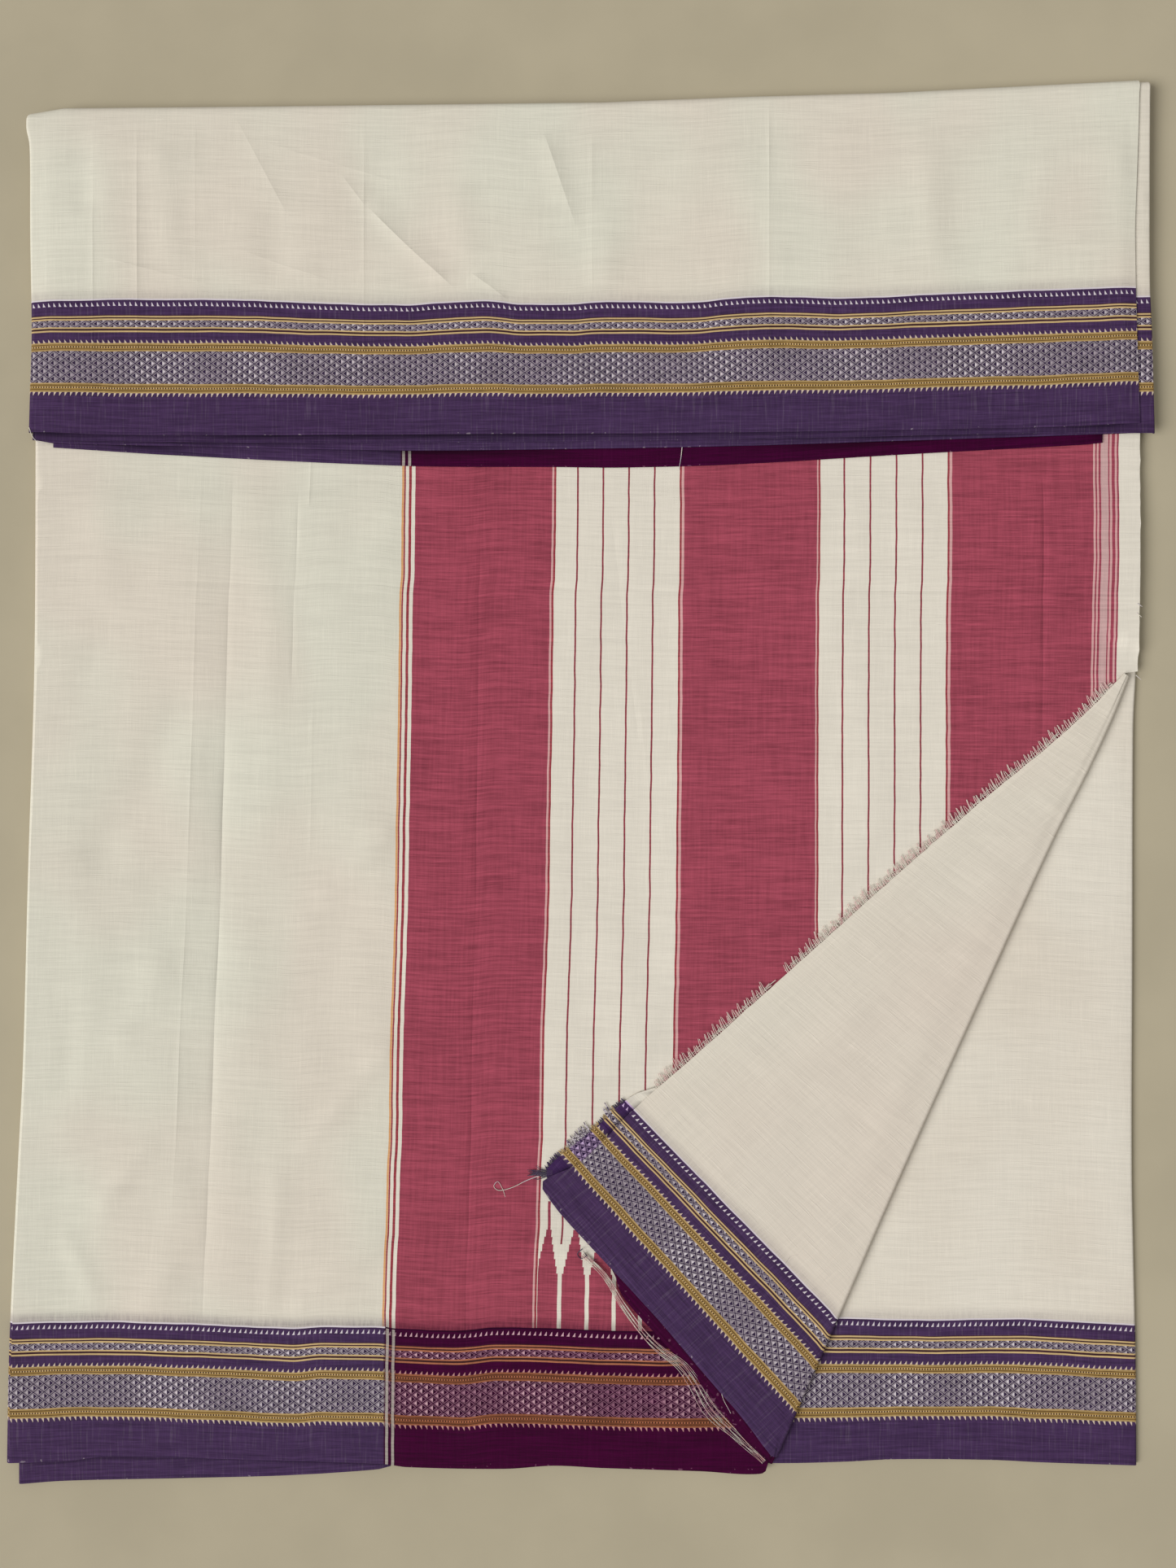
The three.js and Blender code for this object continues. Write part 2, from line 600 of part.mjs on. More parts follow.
// Fringe along a turned layer's raw edge: a narrow backing just off the edge, with the
// strands rooted in it and drooping to the pallu
const EDGE_TURN = 25 * DEGREE; // between the raw edge and the fold
const EDGE_OUT = FOLD_IN.clone().multiplyScalar(Math.cos(EDGE_TURN))
  .addScaledVector(FOLD_DOWN, -Math.sin(EDGE_TURN));
function rawFringe({ from, to, count, length, backing }, widths, top) {
  const base = top - CLOTH;
  const edge = (down, out) => foldPoint(down, along(widths, down)).addScaledVector(EDGE_OUT, out);
  const stops = Array.from({ length: 15 }, (_, i) => THREE.MathUtils.lerp(from - 2, to + 2, i / 14));
  const strip = closedWall(stops.map((down) => [0.5, 0.5 + backing].map((out) => {
    const p = edge(down, out);
    return { outer: new THREE.Vector3(p.x, p.y, base + 0.85), inner: new THREE.Vector3(p.x, p.y, base) };
  })));
  const tipZ = PALLU_TOP + GAP + STRAND.radius;
  const strands = Array.from({ length: count }, (_, i) => {
    const down = THREE.MathUtils.lerp(from, to, i / (count - 1));
    const reach = length * (1 + 0.25 * Math.sin(i * 2.4));
    const lean = 0.8 * Math.sin(i * 1.7);
    const path = [[0.9, 0, base + 0.42], [reach, lean, tipZ]].map(([out, sway, z]) => {
      const p = edge(down, 0.3 + out).addScaledVector(FOLD_DOWN, sway);
      return new THREE.Vector3(p.x, p.y, z);
    });
    return strand(path, 0.6);
  });
  return fuse([strip, ...strands]);
}

// The loose threads beside the turned corner's selvedge, tied in one knot
function selvedgeThreads() {
  const path = THREAD_PATH.map(([x, y, z]) => new THREE.Vector3(x, y, z));
  const route = new THREE.CatmullRomCurve3(path);
  const knot = knotBody(4.2, 3.4, 0.75, path[0]);
  const strands = Array.from({ length: THREAD_COUNT }, (_, i) => {
    const spread = (i - THREAD_COUNT + 1) * THREAD_SPACING;
    const points = Array.from({ length: 8 + (i * 2) % 3 }, (__, k) => {
      const t = 0.01 + k * 0.108;
      const way = route.getTangent(t);
      const sideways = new THREE.Vector3(-way.y, way.x, 0).normalize();
      const open = k === 0 ? 0.4 : 0.8 + 0.1 * Math.sin(t * 9);
      return route.getPoint(t).addScaledVector(sideways, spread * open);
    });
    return strand(points, 0.7);
  });
  return fuse([knot, ...strands]);
}

// A flattened round body
function knotBody(halfX, halfY, halfZ, centre) {
  const rings = [-0.95, -0.6, 0, 0.6, 0.95].map((z) => {
    const around = Math.sqrt(1 - z * z);
    return Array.from({ length: 10 }, (_, k) => {
      const turn = (k / 10) * 2 * Math.PI;
      const x = centre.x + halfX * around * Math.cos(turn);
      const y = centre.y + halfY * around * Math.sin(turn);
      return new THREE.Vector3(x, y, centre.z + halfZ * z);
    });
  });
  return closedSweep(rings, (p) => [p.x, p.y]);
}

const saree = new THREE.Group();
saree.add(mesh('hidden_layers', hiddenLayers(), 0xcfc8b6));
saree.add(mesh('pallu_panel', palluPanel(), 0x994553));
saree.add(mesh('third_layer_panel', thirdLayerPanel(), 0xd6cfbf));
saree.add(mesh('lower_left_selvedge', lowerLeftSelvedge(), 0x493651));
saree.add(mesh('turned_corner', turnedWall({
  top: CORNER_TOP,
  leg: [CORNER_LEG, CORNER_LEG / 2],
  widths: CORNER_WIDTH,
}), 0xd2c9ba));
saree.add(mesh('pallu_turned_end', turnedWall({
  top: PALLU_TURNED_TOP,
  leg: [],
  widths: PALLU_TURNED_WIDTH,
}), 0x3d012c));
saree.add(mesh('top_turnover', topTurnover(), 0xd5cfc0));
saree.add(mesh('turnover_second_layer', turnoverSecondLayer(), 0xcfc8b8));
saree.add(mesh('turnover_pallu_border', turnoverPalluBorder(), 0x3d012c));
saree.add(mesh('raw_edge_fringe', rawFringe(RAW_FRINGE, CORNER_WIDTH, CORNER_TOP), 0xe0cfc6));
const endFringe = rawFringe(END_FRINGE, PALLU_TURNED_WIDTH, PALLU_TURNED_TOP);
saree.add(mesh('end_strip_fringe', endFringe, 0x493651));
saree.add(mesh('selvedge_threads', selvedgeThreads(), 0xd8c9bd));

export default saree;
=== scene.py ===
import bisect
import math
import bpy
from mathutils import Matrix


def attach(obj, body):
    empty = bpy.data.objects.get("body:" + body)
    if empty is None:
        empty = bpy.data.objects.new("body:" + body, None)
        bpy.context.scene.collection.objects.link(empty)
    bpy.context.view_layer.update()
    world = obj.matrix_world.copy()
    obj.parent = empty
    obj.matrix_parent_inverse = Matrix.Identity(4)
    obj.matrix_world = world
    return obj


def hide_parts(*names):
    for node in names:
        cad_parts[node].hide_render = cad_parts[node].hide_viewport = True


bl_info = {
    "name": "Folded Sari",
    "version": (1, 0, 0),
    "blender": (4, 5, 0),
    "location": "3D View > Sidebar > Sari",
    "description": "A handloom sari folded flat, its top turned down and one corner turned back",
    "category": "Add Mesh",
}

import bmesh
import bpy
from bpy.props import FloatProperty, FloatVectorProperty, IntProperty, PointerProperty
from mathutils import Vector, noise

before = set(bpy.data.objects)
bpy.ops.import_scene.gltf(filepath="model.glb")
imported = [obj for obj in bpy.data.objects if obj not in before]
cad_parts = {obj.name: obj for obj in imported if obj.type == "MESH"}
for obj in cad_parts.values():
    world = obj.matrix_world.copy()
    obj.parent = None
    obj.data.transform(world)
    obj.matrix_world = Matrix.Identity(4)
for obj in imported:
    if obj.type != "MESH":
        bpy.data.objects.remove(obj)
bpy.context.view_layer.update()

# All lengths below are in millimetres, with the row's axes: +X right, +Y towards the top
# fold, +Z up off the floor
MM = 0.001

# Heights of the layers' upper faces
CLOTH = 1.0
GAP = 0.3
LAYER = CLOTH + GAP
LOW_STACK = 2.7
HIDDEN_BAND = 1.5
THIRD_TOP = LOW_STACK + LAYER
SECOND_TOP = THIRD_TOP + LAYER
PALLU_TOP = SECOND_TOP + LAYER
PALLU_TURNED_TOP = PALLU_TOP + LAYER
CORNER_TOP = PALLU_TURNED_TOP + LAYER
BAND_INNER_TOP = PALLU_TURNED_TOP + GAP + HIDDEN_BAND
BAND_SECOND_TOP = BAND_INNER_TOP + LAYER
TURNOVER_TOP = BAND_SECOND_TOP + LAYER
TURN_RADIUS = TURNOVER_TOP / 2
TURN_LEG = 6
BORDER_WIDTH = 97
HALF_TURN = range(0, 181, 12)


class Line:
    """A line through rows of (at, value), smooth or straight from point to point."""

    def __init__(self, rows, straight=False):
        self.keys = [row[0] for row in rows]
        self.values = [row[1] for row in rows]
        self.straight = straight

    def slope(self, i):
        before = max(i - 1, 0)
        after = min(i + 1, len(self.keys) - 1)
        return (self.values[after] - self.values[before]) / (self.keys[after] - self.keys[before])

    def __call__(self, at):
        keys, values = self.keys, self.values
        i = min(max(bisect.bisect_left(keys, at) - 1, 0), len(keys) - 2)
        span = keys[i + 1] - keys[i]
        t = (at - keys[i]) / span
        rise = values[i + 1] - values[i]
        if self.straight:
            return values[i] + rise * t
        if at <= keys[0]:
            return values[0]
        if at >= keys[-1]:
            return values[-1]
        start = t * (1 - t) * (1 - t) * self.slope(i) * span
        end = t * t * (1 - t) * self.slope(i + 1) * span
        return values[i] + rise * t * t * (3 - 2 * t) + start - end


# Side outlines seen from above, rows of (y, x)
LEFT_SIDE = Line([
    (-483, -407.3), (-410, -406), (-340, -403), (-270, -399.5), (-200, -396), (-62, -392.3),
    (77, -388), (216, -387), (470, -387),
])
RIGHT_SIDE = Line([
    (-486, 397), (-410, 396.5), (-340, 395), (-270, 393.8), (-130, 394.2), (40, 394.8),
    (80, 396.5), (216, 398), (470, 398),
])
BAND_LEFT = Line([
    (248, -389.5), (284, -388.5), (318, -387.5), (388, -388.5), (457, -389), (471, -391.3),
])
BAND_RIGHT = Line([
    (250, 396), (318, 394), (386, 392.5), (420, 393.5), (455, 395), (490, 396),
])
SECOND_RIGHT = Line([
    (248, 407.3), (318, 405.5), (353, 404), (420, 403.8), (490, 404.3),
])

# End outlines seen from above, rows of (x, y)
TOP_EDGE = Line([
    (-391, 474.2), (-365, 478.7), (-226, 480), (16, 482.9), (120, 486.9), (224, 489.8),
    (396, 498.5),
], straight=True)
TURNOVER_EDGE = Line([
    (-388, 248), (-316, 245.6), (-202, 245.6), (108, 247.3), (228, 249.1), (338, 251.4),
    (396, 254.2),
])
BAND_SECOND_EDGE = Line([
    (-386, 242.5), (-200, 240.5), (100, 243), (300, 247), (407, 247.6),
])
BAND_INNER_EDGE = Line([
    (-387, 243), (-372, 240.4), (-336, 239.4), (-238, 237.3), (-124, 235.2), (-7, 236.4),
    (108, 238.4), (229, 242.2), (330, 245.5), (400, 248),
])
PALLU_BORDER_EDGE = Line([
    (-373, 238), (-287, 232.5), (-124, 225), (-17, 224.2), (30, 223.8), (109, 226),
    (229, 233), (357, 240), (371, 241.4),
])
PALLU_EDGE = Line([
    (-405, -483), (-365, -481.5), (-338, -478.5), (-270, -479.5), (-140, -483.5),
    (-122, -485.8), (-53, -487), (-18, -484.8), (16, -486.4), (86, -488.7), (129, -490.5),
    (137, -484),
])
STRIP_EDGE = Line([
    (-399, -498.5), (-365, -496), (-276, -494), (-209, -492.2), (-144, -488), (-134, -485.5),
])
THIRD_EDGE = Line([
    (90, -483), (144, -484.1), (190, -483), (225, -481.3), (294, -481.8), (329, -483.5),
    (397, -485.8),
])

# Where each border's inner line runs, rows of (x, y)
PALLU_LINE = Line([
    (-403, -383.5), (-337, -382.4), (-270, -384.1), (-203, -387), (-181, -385.5),
    (-139, -386.4), (-131, -387.6), (-83, -389.3), (-57, -387), (56, -390.2), (140, -390),
])
THIRD_LINE = Line([(140, -380.4), (184, -381), (244, -382.7), (309, -381.6), (397, -386.2)])
TURNOVER_LINE = Line([
    (-386, 339.3), (-323, 340.7), (-238, 340.4), (-199, 338.7), (-123, 337), (-94, 338.7),
    (-64, 339.4), (-53, 338.6), (-44, 337.5), (-21, 337.2), (-2, 337.7), (9, 338.9),
    (22, 339.3), (78, 338.7), (108, 341.3), (134, 342.7), (188, 341.6), (268, 345),
    (328, 347.3), (392, 349.6),
])
CORNER_LINE = Line([(183, -380.3), (390, -389.8)], straight=True)
CORNER_SELVEDGE = Line([(138, -476.6), (396, -475.1)], straight=True)

# The turned corner: rows of (distance down the fold, width across it)
APEX = Vector((389.5, 75.5))
APEX_RISE = 3.4
FOLD_DOWN = Vector((-249.5, -553.5)).normalized()
FOLD_IN = Vector((FOLD_DOWN.y, -FOLD_DOWN.x))
FOLD_BOW = Line([
    (0, 0), (30, -1.3), (70, -1), (130, 1.6), (250, 2.3), (400, 2.3), (500, 1), (614, 0),
])
CORNER_LEG = 36
CORNER_WIDTH = Line([
    (0, 4), (25, 14), (58, 28), (100, 47), (150, 69.5), (200, 92), (250, 114), (300, 136),
    (372, 168), (424, 192), (474, 212), (498, 231), (507, 220), (516, 202), (534, 159),
    (551, 119), (572, 75), (590, 36), (607, 4),
])
PALLU_TURNED_WIDTH = Line([
    (1, 3.6), (25, 12), (58, 26), (100, 45), (150, 67.5), (200, 90), (250, 112), (300, 134),
    (372, 166), (402, 183), (416, 197), (444, 210), (467, 222), (487, 231), (497, 226),
    (507, 212), (516, 196), (534, 160), (548, 146), (564, 111), (578, 79), (601, 34), (613, 4),
])
POCKET_SET_BACK = 46
POCKET_END = 98
CORNER_FOOT = 137
CORNER_RADIUS = (CORNER_TOP - THIRD_TOP - GAP) / 2

# How far the pallu's stripes drift to the left, rows of (y, shift), and how much of it
# reaches each part of the panel, rows of (x, share)
STRIPE_DRIFT = Line([
    (-484, -12.4), (-392, -11.6), (-368, -11.3), (-345, -10.7), (-330, -10), (-318, -9.2),
    (-299, -8.7), (-276, -8.1), (-253, -6.9), (-218, -6.4), (-172, -5.5), (-126, -3.8),
    (-80, -2.3), (-33, -1.7), (7, -0.9), (59, 0), (117, 0.6), (136, 0.9), (144, 1.8),
    (209, 2.6), (480, 4),
])
STRIPE_SHARE = Line([
    (-400, 0.7), (-118, 1), (-21, 1), (-3, 0.9), (33, 0.75), (52, 0.72), (73, 0.5), (168, 0),
    (400, 0),
])

# Soft swells and troughs, rows of (x1, y1, x2, y2, height, half width). Those of the panel
# and the band are raised by CREASE_GAIN, and no trough sinks below LOWEST_LIFT.
CREASE_GAIN = 1.3
LOWEST_LIFT = -0.3
PANEL_CREASES = [
    (-350, -72, -267, 75, -1.5, 15), (-372, 30, -330, 130, -0.9, 13),
    (-345, -305, -299, -251, 1.0, 8), (-367, -316, -340, -371, 1.0, 8),
    (-361, -148, -365, -230, -1.1, 10), (-330, -190, -290, -120, 0.8, 10),
    (-210, -376, -128, -316, 1.0, 8), (-204, -267, -128, -181, 1.0, 7),
    (-188, -88, -128, -28, 1.3, 9), (-218, 178, -218, -39, 0.6, 10),
    (-215, -267, -218, -376, 0.8, 7), (-252, 225, -270, -380, -0.9, 15),
    (-330, -420, -285, -330, 0.8, 10), (-170, 120, -120, 200, 0.5, 12),
    (20, -90, 60, -250, 0.5, 12), (-60, 60, -30, 180, 0.5, 12), (150, 20, 190, 150, 0.5, 12),
]
BAND_CREASES = [
    (-352, 470, -350, 400, -1.2, 10), (-218, 410, -214, 352, -1.4, 13),
    (-87, 425, -80, 365, 1.1, 13), (19, 410, 19, 350, 1.0, 12), (134, 425, 140, 350, 1.0, 14),
    (246, 470, 250, 360, 1.0, 11), (150, 462, 390, 470, 0.9, 10), (-26, 465, -2, 385, 0.8, 7),
    (-300, 460, -285, 360, 1.0, 12), (330, 450, 320, 370, 0.7, 10), (-160, 424, -90, 352, 0.7, 8),
]
CORNER_CREASES = [
    (340, -20, 150, -210, 0.6, 12), (300, -60, 180, -330, 0.5, 13),
    (210, -150, 90, -260, 0.5, 10), (250, -220, 330, -130, 0.5, 12),
]

# Sharp folds pressed into the cloth, rows of (along, out, along, out, height, half width)
PALLU_FOLDS = [
    (-269.6, -640, -282, -40, 0.3, 1.5), (-247.3, -640, -258.4, 60, -0.8, 2.6),
    (-247.3, -640, -258.4, 60, -0.7, 9), (-201.5, -602, -204, -448, -0.35, 1.8),
    (-193, -620, -194, -580, 0.3, 1.5), (-189, -448, -189, -328, 0.25, 1.5),
    (-73, -620, -68, 98, -0.6, 2), (327, -630, 329, -400, -1.0, 2.2),
    (-400, -527, 400, -526, -0.6, 2.4), (19, -590, 44, -410, -0.3, 4),
    (-390, -420, -150, -414, 0.25, 5), (40, -470, 60, -300, 0.25, 8),
]
BAND_FOLDS = [
    (-343, -135, -343, 90, 0.3, 1.5), (-312, -135, -312, 90, 0.5, 2.5),
    (-271, -135, -271, 0, 0.2, 1.5), (-152, -140, -152, 90, 0.3, 1.5),
    (134, -150, 134, 90, 0.6, 2), (9, -130, 9, 0, 0.4, 3.5),
    (-168, -92, -151, -70, 0.5, 3.4), (-151, -71, -87, -9, 1.1, 4),
    (-77, -21, -50, -2, 0.9, 5), (-244, -132, -205, -60, 0.55, 5),
    (-224, -113, -126, -87, 0.35, 2.6), (-343, -32, -253, -9, 0.35, 3),
    (-244, -37, -170, -15, 0.35, 3), (-26, -125, -1, -51, 0.7, 4),
]
CORNER_FOLDS = [
    (250, -330, 390, -200, 0.3, 8), (200, -160, 390, -90, 0.25, 8),
    (300, -420, 395, -330, 0.25, 7),
]


def fade(t):
    """1 at zero, falling smoothly to 0 at one."""
    k = min(max(t, 0), 1)
    return 1 - k * k * (3 - 2 * k)


def crease_lift(creases, x, y):
    """Height of the soft swells at a point, uneven along their length."""
    lift = 0
    for x1, y1, x2, y2, height, half in creases:
        run = Vector((x2 - x1, y2 - y1))
        length = run.length
        way = run / length
        offset = Vector((x - x1, y - y1))
        down = offset.dot(way) / length
        if not -0.1 < down < 1.1:
            continue
        wander = 2.2 * noise.noise(Vector((x1, y1, down * length / 70)))
        away = (offset.x * way.y - offset.y * way.x + wander) / half
        if abs(away) > 3:
            continue
        uneven = 0.75 + 0.6 * noise.noise(Vector((x2, y2, down * length / 45)))
        lift += height * uneven * fade(abs(down - 0.5) * 5 - 1.6) * math.exp(-away * away)
    return lift


def billow(x, y, seed, height):
    """Slow rise and fall of cloth that lies loose on other cloth."""
    broad = noise.noise(Vector((x / 95, y / 210, seed)))
    small = noise.noise(Vector((x / 32, y / 60, seed + 5)))
    return height * (0.5 + 0.5 * broad + 0.22 * small)


# Sheets


def grid_sheet(name, across, along, place, wall, flip=False):
    """A closed sheet. across and along are lists of stops, and place(a, b) gives a point
    and its cloth coordinates: along the sari, out from the border's inner line, and the
    depth of painted shade where it lies near the edge of the layer above, from 0 to 1."""
    shell = bmesh.new()
    bmesh.ops.create_grid(shell, x_segments=len(across) - 1, y_segments=len(along) - 1, size=1)
    cloth = shell.verts.layers.float_vector.new("cloth_at")
    for vert in shell.verts:
        a = across[round((vert.co.x + 1) / 2 * (len(across) - 1))]
        b = along[round((vert.co.y + 1) / 2 * (len(along) - 1))]
        point, (u, v, painted_shade) = place(a, b)
        vert.co = Vector(point) * MM
        vert[cloth] = Vector((u * MM, v * MM, painted_shade))
    if flip:
        bmesh.ops.reverse_faces(shell, faces=shell.faces[:])
    shell.normal_update()
    bmesh.ops.solidify(shell, geom=shell.faces[:], thickness=wall * MM)
    return finish_mesh(name, shell)


def finish_mesh(name, shell):
    """Writes cloth coordinates to a UV map, keeps sharp rims sharp and makes the object."""
    shell.normal_update()
    cloth = shell.verts.layers.float_vector["cloth_at"]
    uv = shell.loops.layers.uv.new("cloth")
    for face in shell.faces:
        face.smooth = True
        for loop in face.loops:
            loop[uv].uv = loop.vert[cloth].xy
    for edge in shell.edges:
        if edge.calc_face_angle(0) > 0.9:
            edge.smooth = False
    mesh = bpy.data.meshes.new(name)
    shell.to_mesh(mesh)
    shell.free()
    piece = bpy.data.objects.new(name, mesh)
    bpy.context.scene.collection.objects.link(piece)
    return piece


def stops(start, end, step):
    """Even stops from start to end, about step apart."""
    count = max(2, round(abs(end - start) / step) + 1)
    return [start + (end - start) * k / (count - 1) for k in range(count)]


ROLL_TURNS = [150, 135, 120, 105, 90, 75, 60, 45, 30, 15]


def columns(step, left_radius, right_radius, width):
    """Columns across a sheet: (side, turn in degrees) in a rolled edge, (0, share) between."""
    middle = [(0, share) for share in stops(0, 1, step / width)]
    left = [(-1, turn) for turn in ROLL_TURNS] if left_radius else []
    right = [(1, turn) for turn in reversed(ROLL_TURNS)] if right_radius else []
    return left + middle + right


def across_point(column, left, right, left_radius, right_radius):
    """x, depth below the top and length of cloth from the flat part, for one column."""
    side, value = column
    first, last = left + left_radius, right - right_radius
    if side == 0:
        return first + (last - first) * value, 0, 0
    radius = left_radius if side < 0 else right_radius
    centre = first if side < 0 else last
    turn = math.radians(value)
    x = centre + side * radius * math.sin(turn)
    return x, radius * (1 - math.cos(turn)), side * radius * (turn - math.sin(turn))


def painted_shade_under(sheet, x, y):
    """Painted shade by the lower edge of the layer above, from 0 to 1, stronger the nearer a point
    lies to it.
    """
    return fade(abs(sheet["above"](x) - y) / 2.4) if "above" in sheet else 0


def level_place(sheet):
    """Placing for a level sheet between two side outlines and two end outlines."""
    low_y, high_y = sheet["rows"][0], sheet["rows"][-1]
    reach = min(60, high_y - low_y)
    left_radius, right_radius = sheet.get("left_radius", 0), sheet.get("right_radius", 0)

    def place(column, y):
        x, depth, extra = across_point(
            column, sheet["left"](y), sheet["right"](y), left_radius, right_radius)
        near_low = fade((y - low_y) / reach)
        near_high = fade((high_y - y) / reach)
        at_y = y + (sheet["lower"](x) - low_y) * near_low
        at_y += (sheet["upper"](x) - high_y) * near_high
        lift = sheet["lift"](x, at_y) if depth == 0 else 0
        at = (*sheet["cloth"](x + extra, at_y), painted_shade_under(sheet, x, at_y))
        return (x, at_y, sheet["top"] + lift - depth), at

    return place


def turn_centre(x):
    return TOP_EDGE(x) - TURN_RADIUS


def turnover_place(sheet):
    """Placing for a sheet that runs from a leg under the stack, round the top fold and
    down the front. Rows are (kind, value): leg in mm, turn in degrees, level in y."""
    levels = [value for kind, value in sheet["rows"] if kind == "level"]
    low_y, high_y = levels[-1], turn_centre(0)
    radius = sheet["top"] - TURN_RADIUS
    left_radius, right_radius = sheet.get("left_radius", 0), sheet.get("right_radius", 0)
    reach = 60

    def place(column, row):
        kind, value = row
        side_y = value if kind == "level" else 490
        x, depth, extra = across_point(
            column, sheet["left"](side_y), sheet["right"](side_y), left_radius, right_radius)
        if kind == "level":
            near_low = fade((value - low_y) / reach)
            near_high = fade((high_y - value) / reach)
            y = value + (sheet["lower"](x) - low_y) * near_low
            y += (turn_centre(x) - high_y) * near_high
            lift = sheet["lift"](x, y) * fade((y - high_y + 40) / 40) if depth == 0 else 0
            at = (*sheet["cloth"](x + extra, y), painted_shade_under(sheet, x, y))
            return (x, y, sheet["top"] + lift - depth), at
        if kind == "turn":
            ny, nz = math.sin(math.radians(value)), math.cos(math.radians(value))
            run = radius * math.radians(value)
        else:
            ny, nz = 0, -1
            run = radius * math.pi + value
        y = turn_centre(x) + (radius - depth) * ny - (value if kind == "leg" else 0)
        z = TURN_RADIUS + (radius - depth) * nz
        return (x, y, z), (*sheet["cloth"](x + extra, turn_centre(x) + run), 0)

    return place


def fold_point(down, inward):
    """A point set in from the turned corner's fold."""
    return APEX + FOLD_DOWN * down + FOLD_IN * (inward + FOLD_BOW(down))


def fold_x(y):
    down = (y - APEX.y) / FOLD_DOWN.y
    return APEX.x + FOLD_DOWN.x * down + FOLD_BOW(down) / FOLD_IN.x


def corner_border(x, y):
    """Distance out from the inner line of the border on the turned layers."""
    inner = CORNER_LINE(x)
    return BORDER_WIDTH * (inner - y) / (inner - CORNER_SELVEDGE(x))


def corner_place(sheet):
    """Placing for a turned-back layer: leg, half a turn about the fold, and the flap.
    Cloth coordinates are those the point had before it was turned back."""
    radius = CORNER_RADIUS - (CORNER_TOP - sheet["top"])
    middle = CORNER_TOP - CORNER_RADIUS

    def place(profile, down):
        kind, value = profile
        if kind == "leg":
            inward, z, back = value, middle - radius, -value
        elif kind == "turn":
            turn = math.radians(value)
            inward = CORNER_RADIUS - radius * math.sin(turn)
            z = middle - radius * math.cos(turn)
            back = radius * (turn - math.pi / 2) * 0.6
        else:
            width = max(sheet["width"](down), CORNER_RADIUS + 0.4)
            inward = CORNER_RADIUS + (width - CORNER_RADIUS) * value
            inward += sheet["ragged"](down) * fade((1 - value) / 0.06)
            z = sheet["top"]
            back = inward + 1.4
        at = fold_point(down, inward)
        was = fold_point(down, -back)
        if kind == "flap":
            z += sheet["lift"](at.x, at.y) * fade(1 - value * 6) * fade(value * 12 - 11)
        # painted shade on the flap where it lies near the edge of the layer turned over it
        painted_shade = 0
        if "above" in sheet and kind == "flap":
            painted_shade = fade(abs(inward - sheet["above"](down)) / 2.6)
        return (at.x, at.y, z), (was.x, corner_border(was.x, was.y), painted_shade)

    return place


# Cloth coordinates of the sheets


def below(line):
    """Cloth coordinates where the border's inner line is a row of (x, y)."""
    return lambda x, y: (x, line(x) - y)


def between_edges(line, edge):
    """Cloth coordinates for a border that lies between its inner line and its selvedge."""
    def place(x, y):
        out = line(x) - y
        return x, out if out < 0 else out * BORDER_WIDTH / (line(x) - edge(x))
    return place


def up_from(edge, width=BORDER_WIDTH):
    """Cloth coordinates measured up from a selvedge."""
    return lambda x, y: (x, width - (y - edge(x)))


def pallu_cloth(x, y):
    share = max(STRIPE_SHARE(x), 0.6) if y > 59 else STRIPE_SHARE(x)
    return x - STRIPE_DRIFT(y) * share, PALLU_LINE(x) - y


def pallu_lift(x, y):
    """Creases and billows of the pallu, kept down where other cloth lies on it."""
    down = (APEX - Vector((x, y))).dot(-FOLD_DOWN)
    inward = (Vector((x, y)) - APEX).dot(FOLD_IN)
    under = 1 if 0 < down < 640 and inward < CORNER_WIDTH(min(down, 600)) + 14 else 0
    beside = fade((inward - CORNER_WIDTH(min(max(down, 0), 600)) - 14) / 30) if down > -20 else 0
    open_cloth = (1 - under) * (1 - beside) * fade((y - 195) / 26)
    ends = fade(1 - (y + 486) / 25)
    lift = CREASE_GAIN * crease_lift(PANEL_CREASES, x, y) + billow(x, y, 1, 3.4)
    return open_cloth * ends * max(lift, LOWEST_LIFT)


def band_lift(x, y):
    lift = CREASE_GAIN * crease_lift(BAND_CREASES, x, y) + billow(x, y, 21, 2.8)
    return max(lift, LOWEST_LIFT)


def corner_lift(x, y):
    return max(billow(x, y, 14, 1.8) + crease_lift(CORNER_CREASES, x, y), LOWEST_LIFT)


def edge_x(y):
    """Right edge of the pallu: its own raw edge above the apex, the fold's line below."""
    if y > APEX.y + APEX_RISE:
        return RIGHT_SIDE(y) + 0.5 * noise.noise(Vector((0, y / 9, 3)))
    return fold_x(y) - 3 - 1.5 * fade((y + 485) / 30)


# Shader building


